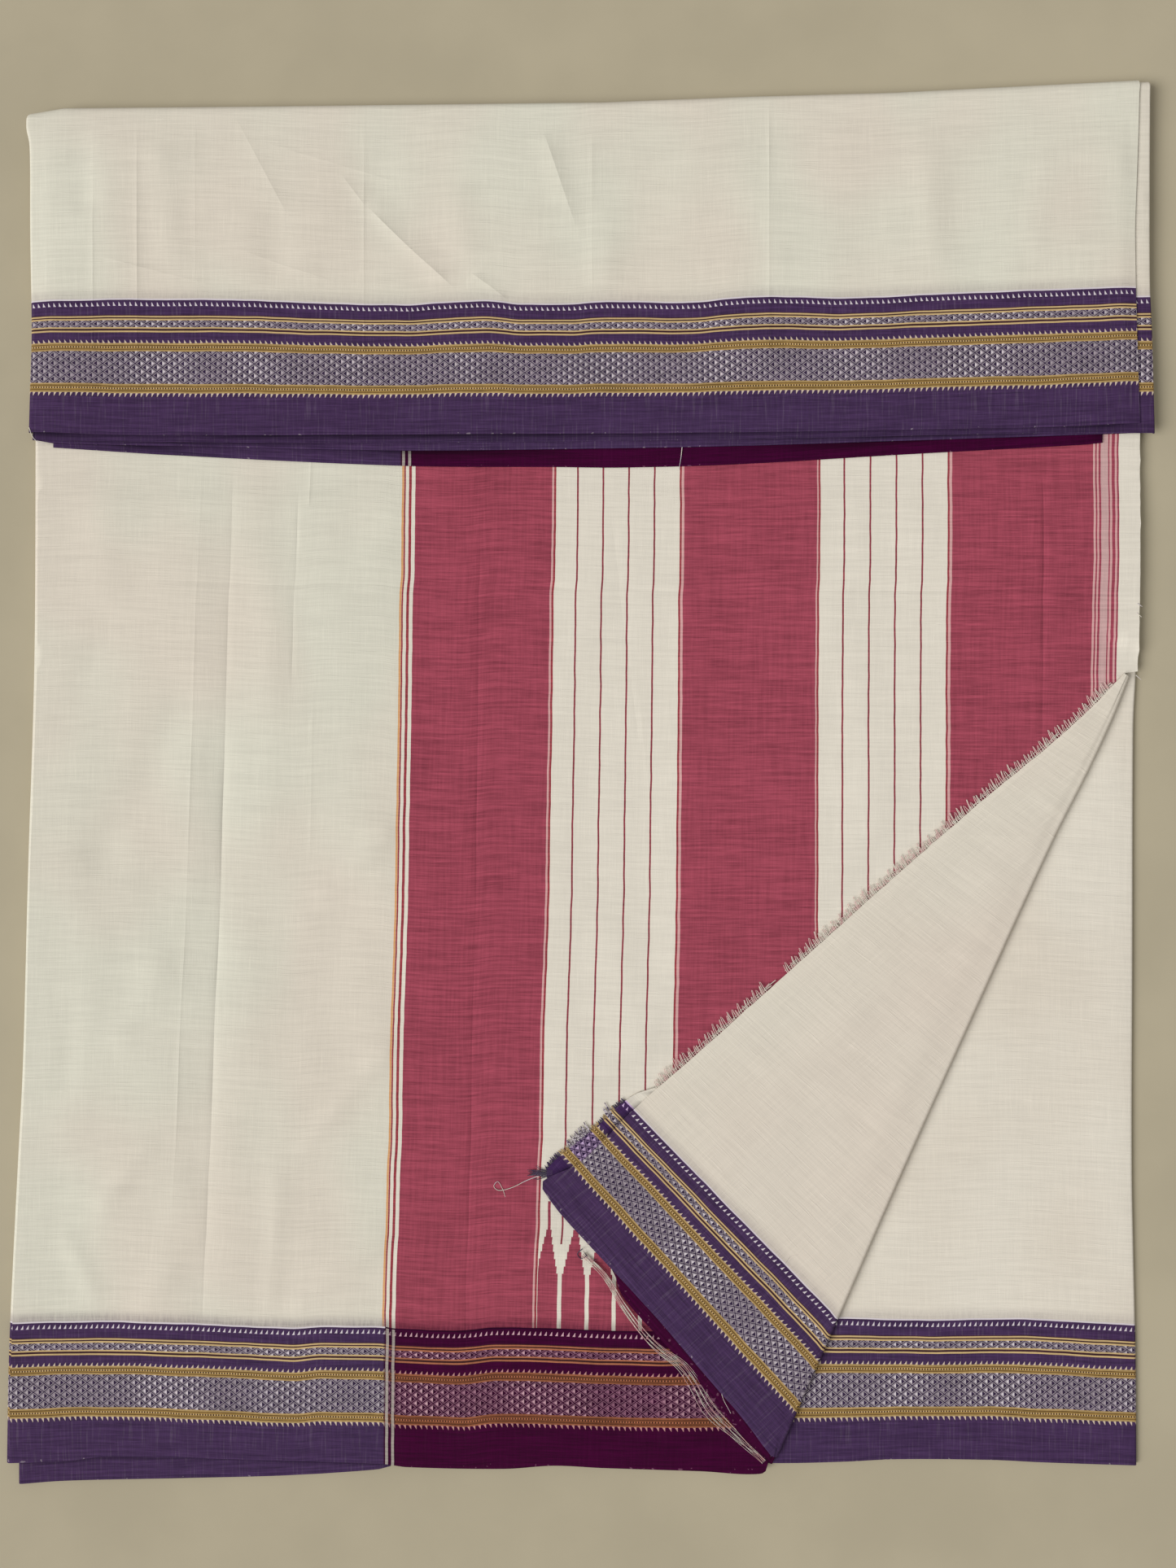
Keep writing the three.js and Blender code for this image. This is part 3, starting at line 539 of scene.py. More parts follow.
class Loom:
    """Builds shader nodes. Calls take sockets, numbers or colours and return a socket."""

    def __init__(self, tree):
        self.tree = tree

    def add(self, kind, **settings):
        node = self.tree.nodes.new(kind)
        for key, value in settings.items():
            setattr(node, key, value)
        return node

    def feed(self, socket, value):
        if isinstance(value, bpy.types.NodeSocket):
            self.tree.links.new(value, socket)
        else:
            socket.default_value = value

    def math(self, operation, *values):
        node = self.add("ShaderNodeMath", operation=operation)
        for socket, value in zip(node.inputs, values):
            self.feed(socket, value)
        return node.outputs[0]

    def plus(self, *values):
        total = values[0]
        for value in values[1:]:
            total = self.math("ADD", total, value)
        return total

    def times(self, *values):
        total = values[0]
        for value in values[1:]:
            total = self.math("MULTIPLY", total, value)
        return total

    def minus(self, a, b):
        return self.math("SUBTRACT", a, b)

    def over(self, a, b):
        return self.math("GREATER_THAN", a, b)

    def under(self, a, b):
        return self.math("LESS_THAN", a, b)

    def within(self, x, low, high):
        return self.math("COMPARE", x, (low + high) / 2, (high - low) / 2)

    def rows(self, x, *spans):
        """1 where x lies within any of the spans."""
        return self.any_of(*[self.within(x, low, high) for low, high in spans])

    def any_of(self, *masks):
        total = masks[0]
        for mask in masks[1:]:
            total = self.math("MAXIMUM", total, mask)
        return total

    def fraction(self, x, pitch):
        return self.math("FRACT", self.math("DIVIDE", x, pitch))

    def spread(self, x, low, high, to_low=0.0, to_high=1.0):
        node = self.add("ShaderNodeMapRange", interpolation_type="SMOOTHSTEP")
        for socket, value in zip(node.inputs, (x, low, high, to_low, to_high)):
            self.feed(socket, value)
        return node.outputs[0]

    def mix(self, share, first, second, blend="MIX"):
        node = self.add("ShaderNodeMix", data_type="RGBA", blend_type=blend)
        self.feed(node.inputs[0], share)
        self.feed(node.inputs[6], first)
        self.feed(node.inputs[7], second)
        return node.outputs[2]

    def paint(self, colour, *coats):
        """Coats of (mask, colour) laid on a colour in order."""
        for mask, coat in coats:
            colour = self.mix(mask, colour, coat)
        return colour

    def speckle(self, x, y, across, along, detail=2.0, seed=0.0):
        """Noise from 0 to 1 whose grains are about across by along millimetres."""
        place = self.add("ShaderNodeCombineXYZ")
        self.feed(place.inputs[0], self.times(x, 1 / across))
        self.feed(place.inputs[1], self.times(y, 1 / along))
        place.inputs[2].default_value = seed
        node = self.add("ShaderNodeTexNoise")
        node.inputs["Scale"].default_value = 1.0
        node.inputs["Detail"].default_value = detail
        self.feed(node.inputs["Vector"], place.outputs[0])
        return node.outputs[0]


def crease_relief(loom, along, out, rows):
    """Height in mm of sharp folds pressed into the cloth, rows of (along, out, along, out,
    height, half width). A fold is deepest on its line and fades towards its ends."""
    total = 0.0
    for along_1, out_1, along_2, out_2, height, half in rows:
        run = Vector((along_2 - along_1, out_2 - out_1))
        way = run.normalized()
        start = Vector((along_1, out_1))
        side = Vector((-way.y, way.x)) / half
        onward = way / run.length
        off = loom.math("MULTIPLY_ADD", along, side.x, -start.dot(side))
        off = loom.math("MULTIPLY_ADD", out, side.y, off)
        shape = loom.math("POWER", math.exp(-1), loom.math("ABSOLUTE", off))
        share = loom.math("MULTIPLY_ADD", along, onward.x, -0.5 - start.dot(onward))
        share = loom.math("ABSOLUTE", loom.math("MULTIPLY_ADD", out, onward.y, share))
        inside = loom.spread(share, 0.3, 0.5, height, 0.0)
        total = loom.math("MULTIPLY_ADD", shape, inside, total)
    uneven = loom.spread(loom.speckle(along, out, 80, 80, detail=0, seed=9), 0.3, 0.7, 0.5, 1.2)
    return loom.times(total, uneven)


def lay_out(tree):
    """Sets the nodes out in columns from left to right."""
    depth = {}

    def reach(node):
        if node.name not in depth:
            depth[node.name] = 0
            before = [reach(link.from_node) for socket in node.inputs for link in socket.links]
            depth[node.name] = 1 + max(before, default=-1)
        return depth[node.name]

    rows = {}
    for node in tree.nodes:
        column = reach(node)
        rows[column] = rows.get(column, 0) + 1
        node.location = (column * 190, -rows[column] * 170)


def from_screen(red, green, blue):
    """Linear colour from screen values of 0 to 255."""
    def linear(value):
        value /= 255
        return value / 12.92 if value <= 0.04045 else ((value + 0.055) / 1.055) ** 2.4
    return linear(red), linear(green), linear(blue)


# Narrow and broad bands on the pallu's cream ground, rows of (from, to, colour name)
PALLU_START = -128.3
PALLU_BANDS = [
    (-128.3, -126.9, "orange"), (-126.8, -125.7, "dark_red"), (-123.4, -121.5, "dark_red"),
    (-118.9, -21.8, "red"), (-21.8, -20.4, "pink"), (-20.4, -18.9, "dark_red"),
    (69.8, 71.2, "dark_red"), (71.2, 73, "pink"), (73, 167.2, "red"), (167.2, 168.2, "pink"),
    (168.2, 169.6, "dark_red"), (259.8, 261.2, "dark_red"), (261.2, 263.1, "pink"),
    (263.1, 363.1, "red"), (363.1, 364.6, "pink"), (364.6, 365.7, "red"),
    (365.7, 367, "pink"), (367, 368.5, "red"), (368.5, 373.8, "grey_pink"),
    (373.8, 374.7, "red"), (374.7, 376.3, "pink"), (376.3, 378.5, "red"),
    (378.5, 380, "pink"), (380, 381.3, "red"),
]
PALLU_END = 381.3
# The two groups of thin lines: first line, distance between lines, from, to
LINE_GROUPS = [(-3.3, 18.3, -18.5, 69.5), (186.5, 18.5, 170, 259.6)]


# The woven border: its figures' pitch along it, and rows of (from, to) out from its inner line
TOOTH_PITCH = 3.82
NARROW_LATTICE = (14.5, 19.4)
WIDE_LATTICE = (36.9, 60.1)
WIDE_ROW = 5.8
GOLD_BANDS = (30.8, 36.9), (60.1, 66.9)
BAND_EDGES = (30.8, 32), (35.9, 36.9), (60.1, 61.2), (65.9, 66.9)
FINE_LINES = (32.3, 32.6), (35.2, 35.5), (61.6, 61.9), (65.1, 65.4)
DOT_ROWS = (33.3, 34.4), (62.9, 64)
DOUBLE_LINES = (11.3, 12.4), (13.3, 14.5), (19.4, 20.5), (21.9, 23.1)
BETWEEN_LINES = (10.7, 14.9), (19.1, 23.2)
IN_GOLD = (10, 24), (28, 37), (60, 70)
SOFT_START = -10.5
COVER_START = -1.1


def border_group(colours):
    """Node group for the woven border. Along and Out are in mm; Out starts at the inner line."""
    group = bpy.data.node_groups.get("sari border")
    if group:
        return group
    group = bpy.data.node_groups.new("sari border", "ShaderNodeTree")
    for name in ("Along", "Out", "Magenta", "Shade"):
        group.interface.new_socket(name=name, in_out="INPUT", socket_type="NodeSocketFloat")
    group.interface.new_socket(name="Colour", in_out="OUTPUT", socket_type="NodeSocketColor")
    for name in ("Cover", "Relief"):
        group.interface.new_socket(name=name, in_out="OUTPUT", socket_type="NodeSocketFloat")
    loom = Loom(group)
    given = loom.add("NodeGroupInput").outputs
    along, out, magenta = given["Along"], given["Out"], given["Magenta"]
    ground = loom.mix(magenta, colours["indigo"], colours["magenta"])
    gold = loom.mix(magenta, colours["gold"], colours["copper"])
    mustard = loom.mix(magenta, colours["mustard"], colours["copper_dark"])
    light = loom.mix(magenta, colours["white_yarn"], colours["pale_rose"])
    grey = loom.mix(magenta, colours["grey_yarn"], colours["plum"])
    dark = loom.mix(magenta, colours["indigo_deep"], colours["magenta_deep"])
    cream_gold = loom.mix(0.45, gold, light)
    brown = colours["brown"]

    # teeth: one slanted tooth to each pitch, tallest at its right
    tooth = loom.spread(loom.fraction(along, TOOTH_PITCH), 0.4, 1.12)
    upper_teeth = loom.times(
        loom.over(out, loom.minus(4.4, loom.times(tooth, 3.3))), loom.under(out, 4.3))
    gold_teeth = loom.times(
        loom.over(out, loom.minus(31, loom.times(tooth, 2.8))), loom.within(out, 28, 30.8))
    lower_teeth = loom.times(
        loom.under(out, loom.plus(66.8, loom.times(tooth, 3.2))), loom.within(out, 66.9, 70))

    # lattice: rows of staggered diamonds, one half light and one dark, with a pair of thin
    # lines crossing between them
    lattices = loom.rows(out, NARROW_LATTICE, WIDE_LATTICE)
    in_wide = loom.over(out, 30)
    narrow_height = NARROW_LATTICE[1] - NARROW_LATTICE[0]
    narrow_row = loom.math("DIVIDE", loom.minus(out, NARROW_LATTICE[0]), narrow_height)
    wide_row = loom.math("DIVIDE", loom.minus(out, WIDE_LATTICE[0]), WIDE_ROW)
    row = loom.plus(
        loom.times(in_wide, wide_row), loom.times(loom.minus(1.0, in_wide), narrow_row))
    sideways = loom.minus(loom.fraction(along, 2 * TOOTH_PITCH), 0.5)
    upwards = loom.minus(loom.math("FRACT", row), 0.5)
    reach = loom.times(2.0, loom.plus(
        loom.math("ABSOLUTE", sideways), loom.math("ABSOLUTE", upwards)))
    nearest = loom.math("MINIMUM", reach, loom.minus(2.0, reach))
    figure = loom.under(nearest, 0.57)
    right_half = loom.over(loom.times(sideways, loom.minus(1.0, reach)), 0.0)
    left_figure = loom.times(figure, loom.minus(1.0, right_half))
    lines = loom.within(nearest, 0.65, 0.86)
    shine = loom.spread(loom.speckle(along, out, 55, 150, detail=1, seed=6), 0.35, 0.65)
    lattice = loom.paint(
        dark, (lines, grey), (left_figure, loom.mix(shine, grey, light)))

    # gold bands with a dotted row
    dots = loom.over(loom.fraction(along, TOOTH_PITCH / 2), 0.5)
    bands = loom.rows(out, *GOLD_BANDS)
    band_edges = loom.rows(out, *BAND_EDGES)
    fine_lines = loom.rows(out, *FINE_LINES)
    dot_rows = loom.rows(out, *DOT_ROWS)
    double_lines = loom.rows(out, *DOUBLE_LINES)
    between_lines = loom.rows(out, *BETWEEN_LINES)

    # plain selvedge: faint streaks across and along it, and a firmer outermost cord
    silk = loom.minus(1.0, loom.times(magenta, 0.85))
    streak = loom.spread(loom.speckle(along, out, 1.3, 30), 0.5, 0.8, 0, 0.13)
    weave = loom.spread(loom.speckle(along, out, 24, 1.1), 0.45, 0.75, 0, 0.3)
    streaked = loom.mix(loom.times(streak, silk), ground, grey)
    streaked = loom.mix(weave, streaked, dark)
    cord_gap = loom.within(out, 94.9, 95.6)
    specks = loom.times(loom.over(out, 95.9), loom.over(loom.speckle(along, out, 4, 4), 0.66))
    edge_line = loom.within(out, COVER_START, 0)
    soft_streaks = loom.spread(loom.speckle(along, out, 1.3, 9, seed=5), 0.3, 0.7, 0.75, 1.1)
    soft_line = loom.times(
        loom.spread(out, SOFT_START, -1.5, 0, given["Shade"]), soft_streaks)
    colour = loom.paint(
        streaked,
        (upper_teeth, light), (loom.times(between_lines, 0.8), brown),
        (lattices, lattice), (double_lines, gold), (gold_teeth, cream_gold),
        (bands, mustard), (band_edges, loom.mix(0.45, mustard, gold)), (fine_lines, brown),
        (dot_rows, gold), (loom.times(dot_rows, dots), brown), (lower_teeth, cream_gold),
        (loom.times(cord_gap, 0.4), dark), (loom.times(specks, 0.45), grey),
        (loom.under(out, COVER_START), loom.mix(magenta, colours["soft_grey"], dark)),
        (edge_line, loom.mix(magenta, light, dark)))
    relief = loom.any_of(
        upper_teeth, double_lines, loom.times(lattices, left_figure), gold_teeth,
        bands, lower_teeth, edge_line)
    cover = loom.any_of(loom.over(out, COVER_START), soft_line)
    result = loom.add("NodeGroupOutput")
    loom.feed(result.inputs["Colour"], colour)
    loom.feed(result.inputs["Cover"], cover)
    loom.feed(result.inputs["Relief"], relief)
    lay_out(group)
    return group


def white_stripe_masks(loom, along, out):
    """In the two white stripes: thin red lines, red stepped towers where the stripes meet
    the border, and the white lines that run down between the towers."""
    (first, pitch, _, _), (second, second_pitch, _, _) = LINE_GROUPS
    right_hand = loom.over(along, 120.0)
    left_cell = loom.math("DIVIDE", loom.minus(along, first), pitch)
    right_cell = loom.math("DIVIDE", loom.minus(along, second), second_pitch)
    cell = loom.plus(
        loom.times(right_hand, right_cell), loom.times(loom.minus(1.0, right_hand), left_cell))
    wrapped = loom.minus(loom.math("FRACT", loom.plus(cell, 0.5)), 0.5)
    from_line = loom.times(loom.math("ABSOLUTE", wrapped), pitch)
    up = loom.times(out, -1.0)
    stair = loom.math("FLOOR", loom.math("DIVIDE", loom.minus(up, 40.0), 5.2))
    stair = loom.math("MINIMUM", loom.math("MAXIMUM", stair, -1.0), 5.0)
    half = loom.plus(loom.times(stair, 0.98), 2.35)
    half = loom.plus(half, loom.times(loom.over(up, 71.0), 0.9))
    stripes = loom.rows(along, *[(low, high) for _, _, low, high in LINE_GROUPS])
    inner = loom.rows(
        along, *[(start - 4, start + 3 * step + 4) for start, step, _, _ in LINE_GROUPS])
    tower = loom.times(loom.over(from_line, half), loom.under(up, 91.0), stripes)
    line = loom.times(loom.under(from_line, 0.62), loom.over(up, 61.0), inner)
    return line, tower


# How far each kind of thread tones dark yarn and light yarn
THREAD_DEPTHS = {
    "weft": (0.22, 0.07), "warp": (0.85, 0.08), "streak": (0.3, 0.06), "band": (0.3, 0.06),
}
# How much painted shade darkens cloth where it goes under the layer above
PAINTED_SHADE_DEPTH = 0.6


def cloth_material(name, colours, pallu=False, field="field", show_through=False,
                   mirror=False, folds=(), shade=0.27):
    """Handloom cloth: slubs and streaks both ways, with the woven border and, on the
    pallu, its stripes and temple steps. mirror turns the border's figures round, as on
    the other side of the cloth."""
    material = bpy.data.materials.get(name)
    if material:
        return material
    material = bpy.data.materials.new(name)
    material.use_nodes = True
    tree = material.node_tree
    loom = Loom(tree)
    shader = tree.nodes["Principled BSDF"]
    shader.inputs["Sheen Weight"].default_value = 0.015
    shader.inputs["Sheen Roughness"].default_value = 0.5
    shader.inputs["Specular IOR Level"].default_value = 0.06
    split = loom.add("ShaderNodeSeparateXYZ")
    loom.feed(split.inputs[0], loom.add("ShaderNodeUVMap", uv_map="cloth").outputs[0])
    along = loom.times(split.outputs[0], 1000.0)
    out = loom.times(split.outputs[1], 1000.0)
    waver = loom.times(loom.minus(loom.speckle(along, out, 28, 60, detail=1), 0.5), 1.3)
    out_wavy = loom.plus(out, waver)
    along_wavy = loom.plus(
        along, loom.times(
            loom.minus(loom.speckle(along, out, 60, 16, detail=1, seed=3), 0.5), 0.9))

    # plain weave tone: broad patches, then fine threads both ways
    broad = loom.speckle(along, out, 110, 150, detail=1, seed=1)
    weft = loom.speckle(along, out, 0.5, 11, detail=2, seed=2)
    warp = loom.speckle(along, out, 13, 0.55, detail=2, seed=4)
    slub = loom.spread(loom.speckle(along, out, 22, 0.9, detail=0, seed=8), 0.66, 0.76)
    thick_weft = loom.spread(loom.speckle(along, out, 0.9, 34, detail=0, seed=14), 0.66, 0.76)
    long_streak = loom.speckle(along, out, 42, 1.7, detail=1, seed=10)
    upright_streak = loom.speckle(along, out, 1.7, 42, detail=1, seed=11)
    band_tone = loom.speckle(along, out, 260, 7, detail=2, seed=12)
    tone = loom.mix(loom.spread(broad, 0.35, 0.65), colours[field], colours["field_warm"])
    colour = tone
    if show_through:
        under_red = loom.spread(loom.plus(along, loom.times(broad, 60.0)), 398, 340, 0.02, 0.07)
        colour = loom.mix(under_red, colour, colours["pink"])
    magenta = 0.0
    if pallu:
        line, tower = white_stripe_masks(loom, along_wavy, out_wavy)
        colour = loom.mix(loom.over(along_wavy, PALLU_START), tone, colours["cream"])
        colour = loom.paint(
            colour, (line, colours["line_red"]), (tower, colours["red"]),
            *[(loom.within(along_wavy, low, high), colours[key])
              for low, high, key in PALLU_BANDS])
        magenta = loom.within(along_wavy, PALLU_START + 2, PALLU_END)
    border = loom.add("ShaderNodeGroup", node_tree=border_group(colours))
    loom.feed(border.inputs["Along"], loom.times(along_wavy, -1.0 if mirror else 1.0))
    loom.feed(border.inputs["Out"], out_wavy)
    loom.feed(border.inputs["Magenta"], magenta)
    loom.feed(border.inputs["Shade"], shade)
    colour = loom.mix(border.outputs["Cover"], colour, border.outputs["Colour"])
    if pallu:
        in_gold = loom.rows(out, *IN_GOLD)
        end_silk = loom.times(
            loom.over(along_wavy, PALLU_END + 1), loom.over(out, COVER_START),
            loom.minus(0.5, loom.times(in_gold, 0.5)))
        colour = loom.mix(end_silk, colour, loom.mix(
            1.0, colour, (0.7, 0.35, 1.0, 1), blend="MULTIPLY"))
        run_down = loom.rows(along_wavy, (-125.6, -123.6), (-121.3, -119.3))
        beside = loom.within(along_wavy, -127.2, -118.4)
        in_border = loom.over(out, 0.0)
        colour = loom.mix(loom.times(beside, in_border, 0.5), colour, colours["magenta_deep"])
        colour = loom.mix(loom.times(run_down, in_border, 0.42), colour, colours["cream"])

    # threads tone the colour, more in dark yarn than in light, and raise the surface
    grey = loom.add("ShaderNodeRGBToBW")
    loom.feed(grey.inputs[0], colour)
    depth = {
        kind: loom.spread(grey.outputs[0], 0.05, 0.6, in_dark, in_light)
        for kind, (in_dark, in_light) in THREAD_DEPTHS.items()}
    weft_tone = loom.times(loom.minus(weft, 0.5), depth["weft"])
    warp_tone = loom.times(loom.minus(warp, 0.5), depth["warp"])
    streak_tone = loom.times(
        loom.spread(long_streak, 0.3, 0.7, -0.5, 0.5), depth["streak"])
    upright_tone = loom.times(
        loom.spread(upright_streak, 0.3, 0.7, -0.5, 0.5), depth["streak"], 0.45)
    bands_tone = loom.times(loom.minus(band_tone, 0.5), depth["band"])
    tone = loom.plus(
        weft_tone, warp_tone, streak_tone, upright_tone, bands_tone,
        loom.times(loom.plus(slub, thick_weft), 0.035), 1.0)
    # painted shade by the edge of the layer above, read from the cloth_at attribute
    painted_shade = loom.add("ShaderNodeSeparateXYZ")
    loom.feed(painted_shade.inputs[0], loom.add(
        "ShaderNodeAttribute", attribute_name="cloth_at").outputs["Vector"])
    shaded = loom.times(painted_shade.outputs[2], PAINTED_SHADE_DEPTH)
    tone = loom.times(tone, loom.minus(1.0, shaded))
    colour = loom.mix(1.0, colour, tone, blend="MULTIPLY")
    loom.feed(shader.inputs["Base Color"], colour)
    covered = loom.math("MINIMUM", border.outputs["Cover"], 1.0)
    loom.feed(shader.inputs["Roughness"], loom.plus(
        loom.times(covered, -0.15), loom.times(weft, 0.08), 0.84))
    creased = loom.add("ShaderNodeBump")
    creased.inputs["Distance"].default_value = MM
    creased.inputs["Strength"].default_value = 1.0
    loom.feed(creased.inputs["Height"], crease_relief(loom, along, out, folds))
    threads = loom.plus(
        loom.times(weft, 0.5), loom.times(warp, 0.6), loom.times(slub, 0.6),
        loom.times(border.outputs["Relief"], 0.7))
    bump = loom.add("ShaderNodeBump")
    bump.inputs["Strength"].default_value = 0.5
    bump.inputs["Distance"].default_value = 0.0003
    loom.feed(bump.inputs["Height"], threads)
    loom.feed(bump.inputs["Normal"], creased.outputs[0])
    loom.feed(shader.inputs["Normal"], bump.outputs[0])
    lay_out(tree)
    return material


def yarn_material(name, colours, first, second, patch):
    """Loose yarn, changing between two colours from strand to strand."""
    material = bpy.data.materials.get(name)
    if material:
        return material
    material = bpy.data.materials.new(name)
    material.use_nodes = True
    loom = Loom(material.node_tree)
    shader = material.node_tree.nodes["Principled BSDF"]
    shader.inputs["Sheen Weight"].default_value = 0.3
    shader.inputs["Specular IOR Level"].default_value = 0.25
    place = loom.add("ShaderNodeTexCoord").outputs["Object"]
    strand = loom.add("ShaderNodeTexNoise")
    strand.inputs["Scale"].default_value = 1 / (patch * MM)
    loom.feed(strand.inputs["Vector"], place)
    fuzz = loom.add("ShaderNodeTexNoise")
    fuzz.inputs["Scale"].default_value = 2500
    loom.feed(fuzz.inputs["Vector"], place)
    share = loom.spread(strand.outputs[0], 0.42, 0.58)
    colour = loom.mix(share, colours[first], colours[second])
    tone = loom.spread(fuzz.outputs[0], 0.3, 0.7, 0.8, 1.1)
    loom.feed(shader.inputs["Base Color"], loom.mix(1.0, colour, tone, blend="MULTIPLY"))
    loom.feed(shader.inputs["Roughness"], loom.plus(loom.times(fuzz.outputs[0], 0.1), 0.75))
    bump = loom.add("ShaderNodeBump")
    bump.inputs["Strength"].default_value = 0.4
    bump.inputs["Distance"].default_value = 0.0002
    loom.feed(bump.inputs["Height"], fuzz.outputs[0])
    loom.feed(shader.inputs["Normal"], bump.outputs[0])
    lay_out(material.node_tree)
    return material


# Settings


def colour_property(name, description, screen):
    return FloatVectorProperty(
        name=name, description=description, subtype="COLOR", size=3, min=0, max=1,
        default=from_screen(*screen))


class SariSizes(bpy.types.PropertyGroup):
    """Sizes of the cloth pieces."""

    wall: FloatProperty(
        name="Cloth wall", description="Thickness of one modelled layer", default=0.0007,
        min=0.0003, max=0.001, unit="LENGTH", subtype="DISTANCE")
    step: FloatProperty(
        name="Grid step", description="Distance between the rows of a sheet's mesh",
        default=0.005, min=0.002, max=0.02, unit="LENGTH", subtype="DISTANCE")
    fringe_strands: IntProperty(
        name="Fringe strands", description="Loose ends along the turned corner's raw edge",
        default=300, min=100, max=600)


class SariColours(bpy.types.PropertyGroup):
    """Yarn colours."""

    field: colour_property("Field", "Undyed cotton field", (216, 213, 197))
    field_warm: colour_property("Warm field", "Warmer patches of the field", (217, 208, 193))
    flap: colour_property("Reverse field", "Field seen from the reverse", (217, 210, 195))
    cream: colour_property("Cream", "Cream stripes of the pallu", (222, 215, 201))
    red: colour_property("Red", "Broad red stripes", (153, 69, 85))
    dark_red: colour_property("Dark red", "Narrow red edges", (150, 62, 70))
    line_red: colour_property("Line red", "Thin lines in the white stripes", (140, 62, 72))
    pink: colour_property("Pink", "Pink edges of the stripes", (206, 160, 158))
    grey_pink: colour_property("Grey pink", "Mixed band by the raw edge", (196, 160, 158))
    orange: colour_property("Orange", "Orange line where the pallu starts", (214, 160, 110))
    indigo: colour_property("Indigo", "Silk ground of the border", (67, 46, 80))
    indigo_deep: colour_property("Deep indigo", "Dark halves of the lattice", (48, 34, 62))
    magenta: colour_property("Magenta", "Silk ground of the pallu's border", (58, 0, 42))
    magenta_deep: colour_property("Deep magenta", "Dark halves of its lattice", (44, 0, 33))
    plum: colour_property("Plum", "Mixed yarns of the pallu's lattice", (132, 89, 109))
    grey_yarn: colour_property("Grey yarn", "Light halves of the lattice", (156, 145, 152))
    white_yarn: colour_property("White yarn", "Light figures of the border", (210, 201, 206))
    pale_rose: colour_property("Pale rose", "Light figures of the pallu's border", (199, 160, 169))
    gold: colour_property("Gold", "Light gold lines", (196, 168, 120))
    mustard: colour_property("Mustard", "Gold bands", (146, 117, 66))
    copper: colour_property("Copper", "Light lines of the pallu's border", (166, 104, 76))
    copper_dark: colour_property("Dark copper", "Bands of the pallu's border", (116, 68, 44))
    rose: colour_property("Rose", "Faded ends of the raw edge", (218, 184, 178))
    violet: colour_property("Violet", "Silk at the pallu's very end", (58, 24, 80))
    brown: colour_property("Brown", "Fine dark lines in the gold", (62, 36, 28))
    soft_grey: colour_property("Soft grey", "Shaded line inside the border", (120, 108, 116))
    floor: colour_property("Floor", "Pale floor under the cloth", (176, 166, 142))


def palette(context):
    """Colours by name, as shader colours."""
    group = context.scene.sari_colours
    return {name: (*getattr(group, name), 1.0) for name in SariColours.__annotations__}


def step_of(context):
    return context.scene.sari_sizes.step / MM


def wall_of(context):
    return context.scene.sari_sizes.wall / MM


def settle(piece, material, replaced):
    """Material, body and replaced node of one finished piece."""
    piece.data.materials.append(material)
    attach(piece, "root")
    if replaced:
        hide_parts(replaced)
    return piece


# Operators


# The stage, in metres: lamps as (name, place, spread in degrees, strength), and the camera
LAMPS = [
    ("window light", (-2.5, -1.0, 2.3), 36, 2.66),
    ("ceiling light", (0.5, 0.6, 2.5), 50, 0.25),
]
ROOM_COLOUR = (1, 0.98, 0.95, 1)
ROOM_STRENGTH = 0.33
FLOOR_HALF = 4
CAMERA_PLACE = (0.0062, -0.0007, 1.089)
CAMERA_LENS = 35


class SARI_OT_stage(bpy.types.Operator):
    """Floor, soft lights and the camera straight above the cloth"""

    bl_idname = "sari.stage"
    bl_label = "Stage"

    def execute(self, context):
        colours = palette(context)
        ground = bmesh.new()
        bmesh.ops.create_grid(ground, x_segments=2, y_segments=2, size=FLOOR_HALF)
        mesh = bpy.data.meshes.new("floor")
        ground.to_mesh(mesh)
        ground.free()
        floor = bpy.data.objects.new("floor", mesh)
        context.scene.collection.objects.link(floor)
        material = bpy.data.materials.new("pale floor")
        material.use_nodes = True
        loom = Loom(material.node_tree)
        shader = material.node_tree.nodes["Principled BSDF"]
        shader.inputs["Specular IOR Level"].default_value = 0.2
        mottle = loom.add("ShaderNodeTexNoise")
        mottle.inputs["Scale"].default_value = 9
        mottle.inputs["Detail"].default_value = 6
        loom.feed(mottle.inputs["Vector"], loom.add("ShaderNodeTexCoord").outputs["Object"])
        tone = loom.spread(mottle.outputs[0], 0.3, 0.7, 0.95, 1.04)
        loom.feed(shader.inputs["Base Color"], loom.mix(
            1.0, colours["floor"], tone, blend="MULTIPLY"))
        shader.inputs["Roughness"].default_value = 0.8
        mesh.materials.append(material)

        context.scene.view_settings.view_transform = "Standard"
        for name, place, spread, strength in LAMPS:
            light = bpy.data.lights.new(name, "SUN")
            light.angle = math.radians(spread)
            light.energy = strength
            lamp = bpy.data.objects.new(name, light)
            lamp.location = place
            lamp.rotation_euler = (-Vector(place)).to_track_quat("-Z", "Y").to_euler()
            context.scene.collection.objects.link(lamp)
        world = bpy.data.worlds.new("soft room")
        world.use_nodes = True
        background = world.node_tree.nodes["Background"]
        background.inputs["Color"].default_value = ROOM_COLOUR
        background.inputs["Strength"].default_value = ROOM_STRENGTH
        context.scene.world = world

        view = bpy.data.cameras.new("camera")
        view.sensor_fit = "VERTICAL"
        view.sensor_height = 36
        view.lens = CAMERA_LENS
        camera = bpy.data.objects.new("camera", view)
        camera.location = CAMERA_PLACE
        context.scene.collection.objects.link(camera)
        context.scene.camera = camera
        return {"FINISHED"}


# The stack's section: bulges on each side, and how far its faces lie inside the outlines
RING_BULGES = 3
STACK_INSET = {"left": 2.6, "right": 1.7, "strip": 3.1, "band_right": 2}


